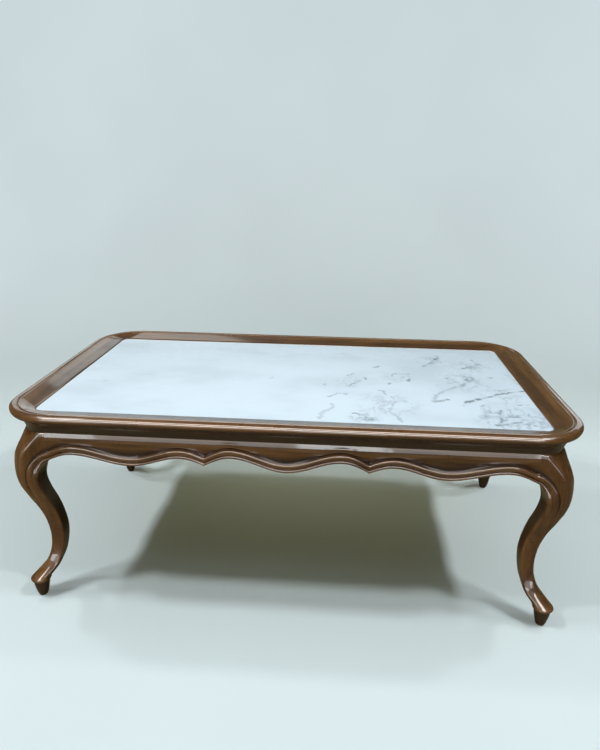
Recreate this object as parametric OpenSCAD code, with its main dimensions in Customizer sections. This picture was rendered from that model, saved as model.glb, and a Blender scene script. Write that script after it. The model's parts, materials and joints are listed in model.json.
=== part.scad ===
// Coffee table with a dished, moulded tray top, a loose stone slab, scalloped aprons and cabriole legs.
// Millimetres, +Z up, origin on the floor under the middle of the table, -Y is the front.
// An inset is a distance from the outer line of the top, measured in towards the middle.

/* [Overall] */
// Length over the top moulding
table_l = 1090; // [1000:5:1180]
// Width over the top moulding
table_w = 620; // [580:5:680]
// Height to the crest of the top moulding
table_h = 416; // [396:2:446]

/* [Tray top] */
// Inset of the opening that holds the slab
opening_in = 58.5; // [57:0.5:61]
// Radius of the outer line at each corner
corner_r = 108; // [100:2:116]
// Radius of the opening at each corner
opening_r = 16; // [13:1:20]
// Inset of the neck, where the top meets the base
neck_in = 35; // [34:0.5:36]
// Radius of the neck at each corner
neck_r = 50; // [46:1:50]
// Height of the top moulding, crest to neck
rail_h = 47; // [45:1:50]
// Inset of the highest line of the moulding
crest_in = 12.8; // [11:0.2:14]
// Width of the ledge that carries the slab
ledge_w = 13.5; // [11:0.5:16]
// Thickness of the stone slab
slab_t = 16; // [13:1:18]
// Depth of the slab's face below the crest
slab_drop = 11; // [10:0.5:12]
// Gap all round between slab and opening
slab_gap = 1; // [0.6:0.1:1.6]

/* [Base] */
// Inset of the apron's inner face
apron_back_in = 60; // [59:0.5:62]
// Inset of the line where apron meets leg
shoulder_in = 87; // [86:0.5:90]
// Length of each apron tenon
tenon_l = 18; // [12:1:19]
// Thickness of each apron tenon
tenon_t = 10; // [8:0.5:11]
// Height of each apron tenon
tenon_h = 34; // [28:1:36]
// Gap left round glued joints
joint_gap = 0.1; // [0.05:0.05:0.15]

/* [Hidden] */
$fn = 36;
// Height of the base, floor to neck
base_h = table_h - rail_h;
ledge_z = table_h - slab_drop - slab_t;
ledge_in = opening_in + ledge_w;
glide_t = 2.5;
glide_d = 16;
nail_d = 2.4;
nail_l = 12;
block_h = 28;
block_leg_gap = 0.2;
block_reach = 165;
block_screw_in = 130;
top_screw_in = 115;
screw_line_in = 66;
screw_d = 4;
screw_head_d = 8;
screw_head_t = 3;
screw_gap = 0.1;
top_screw_l = 40;
block_screw_l = 36;
block_screw_tip_in = 49;
batten_x = 160;
batten_w = 45;
batten_t = ledge_z - base_h;
batten_lap = 8;
batten_lap_t = 10;
batten_screw_l = 15;
batten_screw_d = 3.5;
batten_screw_head_d = 7;
batten_screw_head_t = 2;
spline_l = 24;
spline_w = 20;
spline_t = 3;
spline_rise = 8;
spline_z = base_h + spline_rise;
spline_in = opening_in + 1;
wood = [0.42, 0.27, 0.17];
inner_wood = [0.66, 0.53, 0.38];
stone = [0.92, 0.93, 0.94];
metal = [0.62, 0.60, 0.56];

// Curves. A smooth line runs through its points with the mean slope of the neighbouring spans.
function clamp01(t) = min(1, max(0, t));
function mix(a, b, t) = a + (b - a) * t;
function ease(t) = (1 - cos(180 * clamp01(t))) / 2;
function last(p) = p[len(p) - 1];
function span_of(z, p, i = 0) = i >= len(p) - 2 || z < p[i + 1][0] ? i : span_of(z, p, i + 1);
function slope_at(p, i) =
    i == 0 ? (p[1][1] - p[0][1]) / (p[1][0] - p[0][0])
    : i == len(p) - 1 ? (p[i][1] - p[i - 1][1]) / (p[i][0] - p[i - 1][0])
    : (p[i + 1][1] - p[i - 1][1]) / (p[i + 1][0] - p[i - 1][0]);
function smooth_line(z, p) =
    let (i = span_of(z, p))
    let (w = p[i + 1][0] - p[i][0])
    let (t = clamp01((z - p[i][0]) / w))
    (2 * t * t * t - 3 * t * t + 1) * p[i][1]
    + (t * t * t - 2 * t * t + t) * w * slope_at(p, i)
    + (3 * t * t - 2 * t * t * t) * p[i + 1][1]
    + (t * t * t - t * t) * w * slope_at(p, i + 1);
function bend(a, b, c, n) = [
    for (i = [1 : n]) let (t = i / n)
    a * (1 - t) * (1 - t) + b * 2 * t * (1 - t) + c * t * t
];

// Triangles of a flat outline that runs anticlockwise, as triples of its indices, cut off ear by ear.
function turn_of(a, b, c) = (b[0] - a[0]) * (c[1] - a[1]) - (b[1] - a[1]) * (c[0] - a[0]);
function covers(a, b, c, q) = turn_of(a, b, q) >= 0 && turn_of(b, c, q) >= 0 && turn_of(c, a, q) >= 0;
function around(s, k) = let (n = len(s)) [s[(k + n - 1) % n], s[k], s[(k + 1) % n]];
function is_ear(p, s, k) =
    let (e = around(s, k))
    turn_of(p[e[0]], p[e[1]], p[e[2]]) > 0
    && len([for (j = s) if (j != e[0] && j != e[1] && j != e[2] && covers(p[e[0]], p[e[1]], p[e[2]], p[j])) j]) == 0;
function first_ear(p, s, k = 0) = k >= len(s) - 1 || is_ear(p, s, k) ? k : first_ear(p, s, k + 1);
function ears(p, s) =
    len(s) == 3 ? [s]
    : let (k = first_ear(p, s)) concat([around(s, k)], ears(p, [for (j = [0 : len(s) - 1]) if (j != k) s[j]]));
function upto(n) = [for (i = [0 : n - 1]) i];
function reversed(s) = [for (i = [len(s) - 1 : -1 : 0]) s[i]];

// A closed solid through a row of loops with the same number of points. Ends that aren't convex are
// given as an outline in the plane of the end, or as faces of their own with the points they add.
module loft(loops, outline = [], extra = [], last_faces = []) {
    rows = len(loops);
    n = len(loops[0]);
    sides = [
        for (j = [0 : rows - 2]) for (i = [0 : n - 1])
        let (a = j * n + i)
        let (b = j * n + (i + 1) % n)
        each [[a, b + n, b], [a, a + n, b + n]]
    ];
    cap = len(outline) > 0 ? ears(outline, upto(n)) : [upto(n)];
    end = len(last_faces) > 0 ? last_faces : [for (f = cap) [for (i = reversed(f)) (rows - 1) * n + i]];
    polyhedron(points = concat([for (l = loops) each l], extra), faces = concat(cap, sides, end), convexity = 8);
}

// Top moulding. Each point of its section is an inset, a drop below the crest and a corner radius.
crest_drop = 8;
roll_in = 4;
roll_drop = 15;
ridge_in = crest_in + 5.7;
field_in = opening_in - 9.5;
ridge_r = corner_r - ridge_in;
ledge_r = 3;
arc_steps = 5;
outer_roll = [for (t = [18 : 18 : 90]) [crest_in * (1 - sin(t)), crest_drop * (1 - cos(t))]];
under_roll = [
    for (t = [30 : 30 : 90])
    [roll_in * (1 - cos(t)), crest_drop + (roll_drop - crest_drop) * sin(t)]
];
under_cove = bend([roll_in, roll_drop], [neck_in - 8, 22], [neck_in, rail_h], 5);
field_drop = 9;
lip_drop = slab_drop + 0.6;
inner_roll = bend([opening_in, lip_drop], [opening_in - 3, 8.2], [field_in, field_drop], 3);
inner_cove = bend([field_in, field_drop], [ridge_in + 13.5, 9.4], [ridge_in + 2, 2], 5);
fillet_line = [
    [ridge_in + 0.3, 0.9], [ridge_in - 1.2, 1.1], [ridge_in - 2.5, 2.8], [ridge_in - 3.6, 1.6]
];
function outer_radius(e) = corner_r - e;
function cove_radius(e) = mix(corner_r - roll_in, neck_r, (e - roll_in) / (neck_in - roll_in));
function field_radius(e) = mix(ridge_r, opening_r, (e - ridge_in) / (opening_in - ridge_in));
rail_section = concat(
    [[crest_in, 0, outer_radius(crest_in)]],
    [for (p = outer_roll) [p[0], p[1], outer_radius(p[0])]],
    [for (p = under_roll) [p[0], p[1], outer_radius(p[0])]],
    [for (p = under_cove) [p[0], p[1], cove_radius(p[0])]],
    [[ledge_in, rail_h, ledge_r], [ledge_in, slab_drop + slab_t, ledge_r]],
    [[opening_in, slab_drop + slab_t, opening_r], [opening_in, lip_drop, opening_r]],
    [for (p = inner_roll) [p[0], p[1], field_radius(p[0])]],
    [for (p = inner_cove) [p[0], p[1], field_radius(p[0])]],
    [for (p = fillet_line) [p[0], p[1], outer_radius(p[0])]]
);

// One rail from mitre to mitre, lying along the -Y side of a top that is l long and w wide.
module rail(l, w) {
    angles = [for (i = [-arc_steps : arc_steps]) i * 45 / arc_steps];
    turn = concat([for (a = angles) if (a <= 0) a], [for (a = angles) if (a >= 0) a]);
    loft(
        [
            for (k = [0 : len(turn) - 1])
            let (side = k <= arc_steps ? -1 : 1)
            [
                for (p = rail_section)
                [
                    side * (l / 2 - p[0] - p[2]) + p[2] * sin(turn[k]),
                    -w / 2 + p[0] + p[2] - p[2] * cos(turn[k]),
                    table_h - p[1]
                ]
            ]
        ],
        [for (p = rail_section) [p[0], -p[1]]]
    );
}

// Corner frames: the origin at a corner of the outer line, with both insets measured inwards.
module at_corner(sx, sy) {
    translate([sx * table_l / 2, sy * table_w / 2, 0])
        mirror([sx > 0 ? 1 : 0, 0, 0])
            mirror([0, sy > 0 ? 1 : 0, 0])
                children();
}

module at_corners() {
    for (sx = [-1, 1])
        for (sy = [-1, 1])
            at_corner(sx, sy)
                children();
}

module spline(gap) {
    translate([spline_in, spline_in, spline_z])
        rotate([0, 0, 45])
            translate([-spline_l / 2 - gap, -spline_w / 2 - gap, -spline_t / 2 - gap])
                cube([spline_l + 2 * gap, spline_w + 2 * gap, spline_t + 2 * gap]);
}

module batten_notches() {
    for (sx = [-1, 1])
        translate([
            sx * batten_x - batten_w / 2 - joint_gap,
            -table_w / 2 + ledge_in - batten_lap - joint_gap,
            ledge_z - batten_lap_t
        ])
            cube([batten_w + 2 * joint_gap, table_w - 2 * (ledge_in - batten_lap - joint_gap), slab_t]);
}

module long_rail(back) {
    color(wood)
        difference() {
            mirror([0, back, 0])
                rail(table_l, table_w);
            at_corners()
                spline(joint_gap);
            batten_notches();
            top_screw_set(screw_gap);
            batten_screw_set(screw_gap);
        }
}

module short_rail(right) {
    color(wood)
        difference() {
            mirror([right, 0, 0])
                rotate([0, 0, -90])
                    rail(table_w, table_l);
            at_corners()
                spline(joint_gap);
            top_screw_set(screw_gap);
        }
}

module top_rail_front() { long_rail(0); }
module top_rail_back() { long_rail(1); }
module top_rail_left() { short_rail(0); }
module top_rail_right() { short_rail(1); }

module mitre_splines() {
    color(inner_wood)
        at_corners()
            spline(0);
}

// Stone slab with eased top arrises.
slab_ease = 1;
function slab_loop(inset, z) =
    let (r = opening_r - slab_gap - inset)
    let (x = table_l / 2 - opening_in - slab_gap - inset - r)
    let (y = table_w / 2 - opening_in - slab_gap - inset - r)
    [
        for (q = [0 : 3]) for (i = [0 : arc_steps])
        let (a = q * 90 + i * 90 / arc_steps)
        [(q == 0 || q == 3 ? x : -x) + r * cos(a), (q < 2 ? y : -y) + r * sin(a), z]
    ];

module marble_slab() {
    top = table_h - slab_drop;
    color(stone)
        loft([slab_loop(0, top - slab_t), slab_loop(0, top - slab_ease), slab_loop(slab_ease, top)]);
}

module batten(side) {
    lower_l = table_w - 2 * ledge_in - 2 * joint_gap;
    upper_l = lower_l + 2 * batten_lap;
    color(inner_wood)
        difference() {
            translate([side * batten_x, 0, 0]) {
                translate([-batten_w / 2, -lower_l / 2, base_h])
                    cube([batten_w, lower_l, batten_t]);
                translate([-batten_w / 2, -upper_l / 2, ledge_z - batten_lap_t])
                    cube([batten_w, upper_l, batten_lap_t]);
            }
            batten_screw_set(screw_gap);
        }
}

module cross_batten_left() { batten(-1); }
module cross_batten_right() { batten(1); }

// A countersunk screw along +Z, with the flat of its head at z = 0 and its tip below.
module screw(l, d, head_d, head_t, gap) {
    translate([0, 0, -l - gap])
        cylinder(h = l + gap, d = d + 2 * gap);
    translate([0, 0, -head_t])
        cylinder(h = head_t, d1 = d + 2 * gap, d2 = head_d + 2 * gap);
}

module batten_screw_set(gap) {
    for (sx = [-1, 1])
        for (sy = [-1, 1])
            translate([sx * batten_x, sy * (table_w / 2 - ledge_in + batten_lap / 2), ledge_z])
                screw(batten_screw_l, batten_screw_d, batten_screw_head_d, batten_screw_head_t, gap);
}

module batten_screws() {
    color(metal)
        batten_screw_set(0);
}

// Screws up through the corner blocks into the ledge, heads flush with the underside of the block.
module top_screw_set(gap) {
    at_corners() {
        for (p = [[top_screw_in, screw_line_in], [screw_line_in, top_screw_in]])
            translate([p[0], p[1], base_h - block_h])
                mirror([0, 0, 1])
                    screw(top_screw_l, screw_d, screw_head_d, screw_head_t, gap);
    }
}

module top_screws() {
    color(metal)
        top_screw_set(0);
}

// Screws through the corner blocks into the back of the aprons, heads sunk in counterbores.
module block_screw_set(gap, bore) {
    head_in = block_screw_tip_in + block_screw_l;
    at_corners() {
        for (flip = [0, 1])
            mirror([flip, -flip, 0])
                translate([block_screw_in, head_in, base_h - block_h / 2])
                    rotate([-90, 0, 0]) {
                        screw(block_screw_l, screw_d, screw_head_d, screw_head_t, gap);
                        if (bore)
                            cylinder(h = block_reach, d = screw_head_d + 2 * gap);
                    }
    }
}

module block_screws() {
    color(metal)
        block_screw_set(0, false);
}

// Corner block glued behind two aprons, notched round the inner corner of the leg.
module corner_block(sx, sy) {
    notch = shoulder_in + block_leg_gap;
    near = apron_back_in;
    color(inner_wood)
        difference() {
            at_corner(sx, sy)
                translate([0, 0, base_h - block_h])
                    linear_extrude(height = block_h)
                        polygon([
                            [notch, near], [block_reach, near], [near, block_reach],
                            [near, notch], [notch, notch]
                        ]);
            top_screw_set(screw_gap);
            block_screw_set(screw_gap, true);
        }
}

module corner_block_front_left() { corner_block(-1, -1); }
module corner_block_front_right() { corner_block(1, -1); }
module corner_block_back_left() { corner_block(-1, 1); }
module corner_block_back_right() { corner_block(1, 1); }

// Leg pattern, by height: insets of the outer and inner faces, width of the canted outer corner and its roundness.
outer_line = [
    [46, 23], [58, 35], [72, 46.5], [95, 55.7], [125, 58.6], [162, 55.6], [196, 47.6],
    [229, 36], [262, 25.5], [290, 21.5], [321, 22.8], [335, 25.6], [351, 30.5], [369, neck_in]
];
inner_line = [
    [46, 60], [60, 71.5], [76, 78.3], [105, 85], [140, 87.9], [175, 84.8], [207, 79], [240, 70.6],
    [268, 66.7], [290, 70], [298, 73.6], [304, 78], [307.4, 82], [310, shoulder_in]
];
cant_line = [[46, 12], [95, 9], [196, 9.5], [251, 10], [290, 11.5], [321, 13], [335, 17], [351, 25], [369, 37]];
cant_round = [[46, 1], [196, 1], [229, 0.8], [262, 0.6], [290, 0.4], [321, 0.2], [369, 0.35]];

// Height of the base that the pattern was drawn for, where a leg's knee ends and its height starts to follow
// the table's, and where the apron's lower edge meets the leg.
pattern_h = last(outer_line)[0];
pattern_knee = 290;
seam_low = last(inner_line)[0];

// Apron moulding. Heights in the frieze are drops below the neck, those of the roll rise from the lower edge.
ovolo_in = neck_in - 2.2;
face_in = neck_in;
valley_in = neck_in + 6;
valley_rise = 20;
least_cove_h = 2.5;
frieze = [[neck_in + 1.5, 0], [ovolo_in + 1.3, 3], [ovolo_in, 8], [ovolo_in + 0.2, 13], [ovolo_in + 2.2, 19]];
roll = [
    [valley_in, valley_rise], [face_in - 0.2, 16.5], [face_in - 0.9, 12.5], [face_in + 1, 8.5],
    [face_in + 3.6, 6.5], [face_in + 1.2, 4.8], [face_in + 0.7, 2.6], [face_in + 2.4, 0.2]
];
function apron_loop(lower) =
    let (valley = pattern_h - lower - valley_rise)
    let (squeeze = min(1, (valley - least_cove_h) / (last(frieze)[1] + least_cove_h)))
    let (frieze_end = last(frieze)[1] * squeeze)
    concat(
        [[apron_back_in, 0]],
        [for (p = frieze) [p[0], p[1] * squeeze]],
        [[mix(last(frieze)[0], valley_in, 0.7), mix(frieze_end, valley, 0.6)]],
        [for (p = roll) [p[0], pattern_h - lower - p[1]]],
        [[apron_back_in, pattern_h - lower]]
    );

// Lower edges by pattern height: distance from the middle and height of each turn, and 1 where the line comes to
// a sharp point. Between two level turns it runs as a smooth wave, and next to a sharp point it steepens.
trough_z = 306.5;
arch_w = 46;
arch_z = 324;
shoulder_z = 310;
long_half = table_l / 2 - shoulder_in;
short_half = table_w / 2 - shoulder_in;
long_pattern = [[0, trough_z, 0], [105, 331, 0], [155, 313.5, 1], [200, 326, 0], [298, 306, 0], [412, arch_z, 0]];
short_pattern = [[0, 311, 1], [34, 322, 0], [92, trough_z, 0], [177, arch_z, 0]];
function fitted(pattern, half) = concat(
    [for (p = pattern) [p[0] * (half - arch_w) / last(pattern)[0], p[1], p[2]]],
    [[half, shoulder_z, 1]]
);
function wave(x, a, b) = mix(a[1], b[1], ease((x - a[0]) / (b[0] - a[0])));
function from_level(x, a, b) = mix(a[1], b[1], 1 - cos(90 * clamp01((x - a[0]) / (b[0] - a[0]))));
function edge_z(x, turns) =
    let (i = span_of(abs(x), turns))
    let (a = turns[i])
    let (b = turns[i + 1])
    a[2] == 1 ? from_level(abs(x), b, a) : b[2] == 1 ? from_level(abs(x), a, b) : wave(abs(x), a, b);

// Stations along an apron, with a count for each span between two turns.
long_counts = [4, 3, 3, 4, 4, 4];
short_counts = [2, 3, 4, 4];
function stations(turns, counts) =
    let (right = [
        for (k = [0 : len(counts) - 1]) for (i = [0 : counts[k] - 1]) mix(turns[k][0], turns[k + 1][0], i / counts[k])
    ])
    let (half = last(turns)[0])
    concat([-half], [for (i = [len(right) - 1 : -1 : 1]) -right[i]], right, [half]);

// One apron along the -Y side of a top that is w wide, with its two tenons.
module apron(turns, counts, w) {
    loft(
        [
            for (x = stations(turns, counts))
            [for (p = apron_loop(edge_z(x, turns))) [x, p[0] - w / 2, base_h - p[1]]]
        ],
        [for (p = apron_loop(shoulder_z)) [p[0], -p[1]]]
    );
    for (sx = [-1, 1])
        translate([sx * last(turns)[0], -w / 2, 0])
            tenon(0);
}

tenon_setback = 3.5;
tenon_drop = 8;
tenon_face = apron_back_in - tenon_t - tenon_setback;
tenon_z = base_h - tenon_h - tenon_drop;
module tenon(gap) {
    translate([-tenon_l - gap, tenon_face - gap, tenon_z - gap])
        cube([2 * (tenon_l + gap), tenon_t + 2 * gap, tenon_h + 2 * gap]);
}

module long_apron(back) {
    color(wood)
        difference() {
            mirror([0, back, 0])
                apron(fitted(long_pattern, long_half), long_counts, table_w);
            block_screw_set(screw_gap, false);
        }
}

module short_apron(right) {
    color(wood)
        difference() {
            mirror([right, 0, 0])
                rotate([0, 0, -90])
                    apron(fitted(short_pattern, short_half), short_counts, table_l);
            block_screw_set(screw_gap, false);
        }
}

module apron_front() { long_apron(0); }
module apron_back() { long_apron(1); }
module apron_left() { short_apron(0); }
module apron_right() { short_apron(1); }

// Rows of the leg above the foot. Level rows come first; the fan rows swing from the inner arris up to the neck.
level_rows = [46, 51, 59, 71, 88, 110, 140, 168, 194, 218, 240, 260];
fan_rows = [
    [276, 280], [286, 294], [294, 309], [299.5, 323], [303.8, 337], [307, 351], [309, 366], [309.7, 369]
];
function leg_z(h) =
    h > pattern_knee ? base_h - (pattern_h - h) : h * (base_h - pattern_h + pattern_knee) / pattern_knee;

// Moulding on the leg: distance from the inner arris and depth, on the knee and at the seam with the apron.
knee_steps = [0.3, 4, 8, 10.5, 12.5, 16, 19.5, 22.5];
knee_relief = [1.6, 0.2, 0.5, 1.9, 0.5, -0.3, 0.3, 2.6];
seam_scale = 0.92;
seam_steps = [for (p = reversed(roll)) p[1] * seam_scale];
seam_relief = [for (p = reversed(roll)) p[0] - face_in];
moulding_share = 0.85;
fade_low = 200;
frieze_parts = [0.205, 0.513, 0.667, 0.795, 0.923];
knee_cove_relief = 0.5;
cove_relief = 4.2;
frieze_relief = concat([cove_relief], [for (k = [len(frieze) - 1 : -1 : 1]) frieze[k][0] - face_in]);
// Height where the upper leg's face starts to turn towards the plane of the apron, and how far up that takes
face_turn_low = 270;
face_turn_h = 40;
shadow_d = 1.5;
shadow_h = 3;
corner_parts = [0, 0.25, 0.5, 0.75, 1];
inner_ease = 3;

function shadow(h) = shadow_d * clamp01((h - pattern_h + shadow_h) / shadow_h);
function ridge_in(h) = smooth_line(h, outer_line) + smooth_line(h, cant_line) + shadow(h);
function face_plane(x, h) =
    let (o = smooth_line(h, outer_line))
    let (turn = ease((x - ridge_in(h)) / (shoulder_in - ridge_in(h))) * ease((h - face_turn_low) / face_turn_h))
    mix(o, face_in, turn) + shadow(h);

// Points of one face from the inner arris to the ridge of the canted corner: inset along the face, depth, height.
function face_row(a_h, b_x, b_h) =
    let (a = [smooth_line(a_h, inner_line), a_h])
    let (b = [b_x, b_h])
    let (run = norm(b - a))
    let (s = clamp01((a_h - pattern_knee) / (seam_low - pattern_knee)))
    let (fade = ease((a_h - fade_low) / (pattern_knee - fade_low)))
    let (fit = min(1, moulding_share * run / last(knee_steps)))
    let (valley = mix(last(knee_steps), last(seam_steps), s) * fit / run)
    concat(
        [
            for (k = [0 : len(knee_steps) - 1])
            let (p = mix(a, b, mix(knee_steps[k], seam_steps[k], s) * fit / run))
            let (relief = mix(knee_relief[k] * (k == 0 ? 1 : fade), seam_relief[k], s))
            [p[0], face_plane(p[0], p[1]) + relief, p[1]]
        ],
        [
            for (k = [0 : len(frieze_parts) - 1])
            let (p = mix(a, b, mix(valley, 1, frieze_parts[k])))
            let (relief = mix(k == 0 ? knee_cove_relief * fade : 0, frieze_relief[k], s))
            [p[0], face_plane(p[0], p[1]) + relief, p[1]]
        ]
    );
function corner_row(h) =
    let (o = smooth_line(h, outer_line) + shadow(h))
    let (c = smooth_line(h, cant_line))
    [
        for (t = corner_parts)
        let (flat = [o + c * t, o + c * (1 - t)])
        let (arc = [o + c - c * cos(90 * t), o + c - c * sin(90 * t)])
        let (p = mix(flat, arc, smooth_line(h, cant_round)))
        [p[0], p[1], h]
    ];
inner_parts = [0.33, 0.67];
function whole_row(corner, face, i, h) =
    let (inner = [for (t = inner_parts) [i, mix(face[0][1], i - inner_ease, t), h]])
    concat(
        corner, reversed(face), inner, [[i, i - inner_ease, h], [i - inner_ease, i, h]],
        [for (p = reversed(inner)) [p[1], p[0], h]],
        [for (p = face) [p[1], p[0], p[2]]]
    );
function leg_row(a_h, b_h) =
    whole_row(corner_row(b_h), face_row(a_h, ridge_in(b_h), b_h), smooth_line(a_h, inner_line), a_h);
seam_top = neck_in + shadow_d;
seam_row = whole_row(
    [for (t = corner_parts) [mix(seam_top, shoulder_in, t), mix(shoulder_in, seam_top, t), pattern_h]],
    face_row(seam_low, shoulder_in, pattern_h), shoulder_in, seam_low
);

// Pad and peg of the foot, round about their own middle line. The lowest part of the leg blends into the pad.
pad_in = 38.5;
pad_r = 20;
peg_r = 16.5;
peg_foot_r = 9;
blend_top = 92;
foot_rows = [
    [glide_t, peg_foot_r], [6, peg_foot_r + 1.5], [20, 13.9], [36, peg_r], [38.5, pad_r - 0.8], [42, pad_r]
];
function round_row(points, middle, radius, h) = [
    for (p = points)
    let (v = [p[0], p[1]] - [middle, middle])
    let (q = [middle, middle] + v * radius / norm(v))
    [q[0], q[1], h]
];
function blended_row(h) =
    let (square = leg_row(h, h))
    let (middle = (smooth_line(h, outer_line) + smooth_line(h, inner_line)) / 2)
    let (t = 1 - ease((h - level_rows[0]) / (blend_top - level_rows[0])))
    let (round = round_row(square, middle, middle - smooth_line(h, outer_line), h))
    [for (k = [0 : len(square) - 1]) mix(square[k], round[k], t)];

module leg_blank() {
    square = leg_row(level_rows[0], level_rows[0]);
    middle = (outer_line[0][1] + inner_line[0][1]) / 2;
    rows = concat(
        [
            for (f = foot_rows)
            [for (p = round_row(square, middle, f[1], f[0])) p + [pad_in - middle, pad_in - middle, 0]]
        ],
        [for (h = level_rows) [for (p = blended_row(h)) [p[0], p[1], leg_z(h)]]],
        [for (f = fan_rows) [for (p = leg_row(f[0], f[1])) [p[0], p[1], leg_z(p[2])]]],
        [[for (p = seam_row) [p[0], p[1], leg_z(p[2])]]]
    );
    n = len(seam_row);
    ridge = len(corner_parts) - 1;
    arris = ridge + len(knee_steps) + len(frieze_parts);
    inner = arris + len(inner_parts) + 1;
    below = (len(rows) - 1) * n;
    outline = concat(
        [for (k = [ridge : arris + 1]) [seam_row[k][1], seam_row[k][2]]],
        [[shoulder_in - inner_ease, pattern_h]]
    );
    last = len(outline) - 1;
    front = concat(
        [for (t = ears(outline, upto(last + 1))) [for (i = t) i == last ? n : ridge + i]],
        [for (k = [arris + 1 : inner - 1]) [n, k, k + 1]]
    );
    side = [for (t = front) [for (k = t) k == n ? n + 1 : (n + ridge - k) % n]];
    edge = [inner + 1, inner, n, n + 1];
    top = concat([n + 1, n], reversed(upto(ridge + 1)));
    loft(
        rows, [],
        [[shoulder_in, shoulder_in - inner_ease, base_h], [shoulder_in - inner_ease, shoulder_in, base_h]],
        [for (f = concat([for (t = front) reversed(t)], side, [edge, top])) [for (k = f) below + k]]
    );
}

module leg(sx, sy) {
    color(wood)
        difference() {
            at_corner(sx, sy) {
                difference() {
                    leg_blank();
                    for (flip = [0, 1])
                        mirror([flip, -flip, 0])
                            translate([shoulder_in, 0, 0])
                                tenon(joint_gap);
                }
            }
            glide_set(screw_gap, true);
        }
}

module leg_front_left() { leg(-1, -1); }
module leg_front_right() { leg(1, -1); }
module leg_back_left() { leg(-1, 1); }
module leg_back_right() { leg(1, 1); }

// Nail-on glides under the pegs.
module glide_set(gap, nail_only) {
    at_corners()
        translate([pad_in, pad_in, 0]) {
            if (!nail_only)
                cylinder(h = glide_t, d = glide_d);
            translate([0, 0, glide_t - gap])
                cylinder(h = nail_l + 2 * gap, d = nail_d + 2 * gap);
        }
}

module foot_glides() {
    color(metal)
        glide_set(0, false);
}

top_rail_front();
top_rail_back();
top_rail_left();
top_rail_right();
mitre_splines();
marble_slab();
cross_batten_left();
cross_batten_right();
batten_screws();
leg_front_left();
leg_front_right();
leg_back_left();
leg_back_right();
apron_front();
apron_back();
apron_left();
apron_right();
corner_block_front_left();
corner_block_front_right();
corner_block_back_left();
corner_block_back_right();
block_screws();
top_screws();
foot_glides();
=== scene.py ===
"""Coffee table with a dished moulded rim, a marble slab, scalloped aprons and cabriole legs.

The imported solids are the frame. The shaped pieces are drawn again here as dense surfaces over them, in the
joiner's own millimetres, and become metres when their mesh is made. An inset is measured in from the outer
line of the top, a drop is measured down from the crest, and a depth is an inset seen from the side it faces.
"""

import json
import logging
import math
from dataclasses import dataclass
from enum import Enum

import bpy
import numpy as np
from mathutils import Matrix

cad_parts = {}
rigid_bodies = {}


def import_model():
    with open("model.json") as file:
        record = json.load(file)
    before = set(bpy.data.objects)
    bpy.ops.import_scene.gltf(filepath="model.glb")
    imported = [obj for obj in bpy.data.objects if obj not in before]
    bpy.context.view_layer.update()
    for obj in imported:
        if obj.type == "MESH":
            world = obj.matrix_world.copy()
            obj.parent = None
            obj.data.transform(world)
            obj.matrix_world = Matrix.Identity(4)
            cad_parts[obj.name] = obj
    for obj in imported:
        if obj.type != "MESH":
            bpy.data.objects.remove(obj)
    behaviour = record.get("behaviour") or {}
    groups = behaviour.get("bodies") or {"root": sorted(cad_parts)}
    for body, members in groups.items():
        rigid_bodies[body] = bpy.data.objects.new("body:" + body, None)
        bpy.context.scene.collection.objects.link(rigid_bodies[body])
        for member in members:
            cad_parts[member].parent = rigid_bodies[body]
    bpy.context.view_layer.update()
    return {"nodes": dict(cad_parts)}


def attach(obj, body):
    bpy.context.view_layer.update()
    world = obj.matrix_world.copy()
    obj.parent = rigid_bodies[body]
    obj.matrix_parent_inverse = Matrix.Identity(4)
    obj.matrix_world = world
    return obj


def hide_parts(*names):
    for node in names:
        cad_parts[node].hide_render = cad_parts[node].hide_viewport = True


LOG = logging.getLogger("coffee_table")
MM = 0.001


class Side(Enum):
    """The four sides of the table. The value turns a piece drawn along the front to its own side."""

    FRONT = (1.0, 0.0, 0.0, 1.0)
    BACK = (1.0, 0.0, 0.0, -1.0)
    LEFT = (0.0, 1.0, -1.0, 0.0)
    RIGHT = (0.0, -1.0, -1.0, 0.0)

    @property
    def long(self) -> bool:
        """True for the two long sides."""
        return self in (Side.FRONT, Side.BACK)

    def place(self, grid: np.ndarray) -> np.ndarray:
        """Turn or mirror points drawn along the front side to this side.

        Args:
            grid: Points whose last axis is x, y, z.

        Returns:
            The points on this side, as a new array.
        """
        xx, xy, yx, yy = self.value
        x, y = grid[..., 0], grid[..., 1]
        return np.stack([x * xx + y * xy, x * yx + y * yy, grid[..., 2]], axis=-1)


class Corner(Enum):
    """The four corners of the table, by the signs of their x and y."""

    FRONT_LEFT = (-1.0, -1.0)
    FRONT_RIGHT = (1.0, -1.0)
    BACK_LEFT = (-1.0, 1.0)
    BACK_RIGHT = (1.0, 1.0)


@dataclass(frozen=True)
class TableSizes:
    """Driving sizes of the table, the same as the solids have."""

    table_l: float = 1090.0
    table_w: float = 620.0
    table_h: float = 416.0
    opening_in: float = 58.5
    corner_r: float = 108.0
    opening_r: float = 16.0
    neck_in: float = 35.0
    neck_r: float = 50.0
    rail_h: float = 47.0
    crest_in: float = 12.8
    ledge_w: float = 13.5
    slab_t: float = 16.0
    slab_drop: float = 11.0
    slab_gap: float = 1.0
    apron_back_in: float = 60.0
    shoulder_in: float = 87.0

    @property
    def base_h(self) -> float:
        """Height of the neck, where the top sits on the base."""
        return self.table_h - self.rail_h


# Curves and surfaces.


def ease(t: np.ndarray) -> np.ndarray:
    """Half a cosine wave: 0 up to t = 0, 1 from t = 1, level at both ends."""
    return (1.0 - np.cos(np.pi * np.clip(t, 0.0, 1.0))) / 2.0


def mix(a: np.ndarray, b: np.ndarray, t: np.ndarray) -> np.ndarray:
    """Straight blend: a where t is 0 and b where t is 1."""
    return a + (b - a) * t


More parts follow.
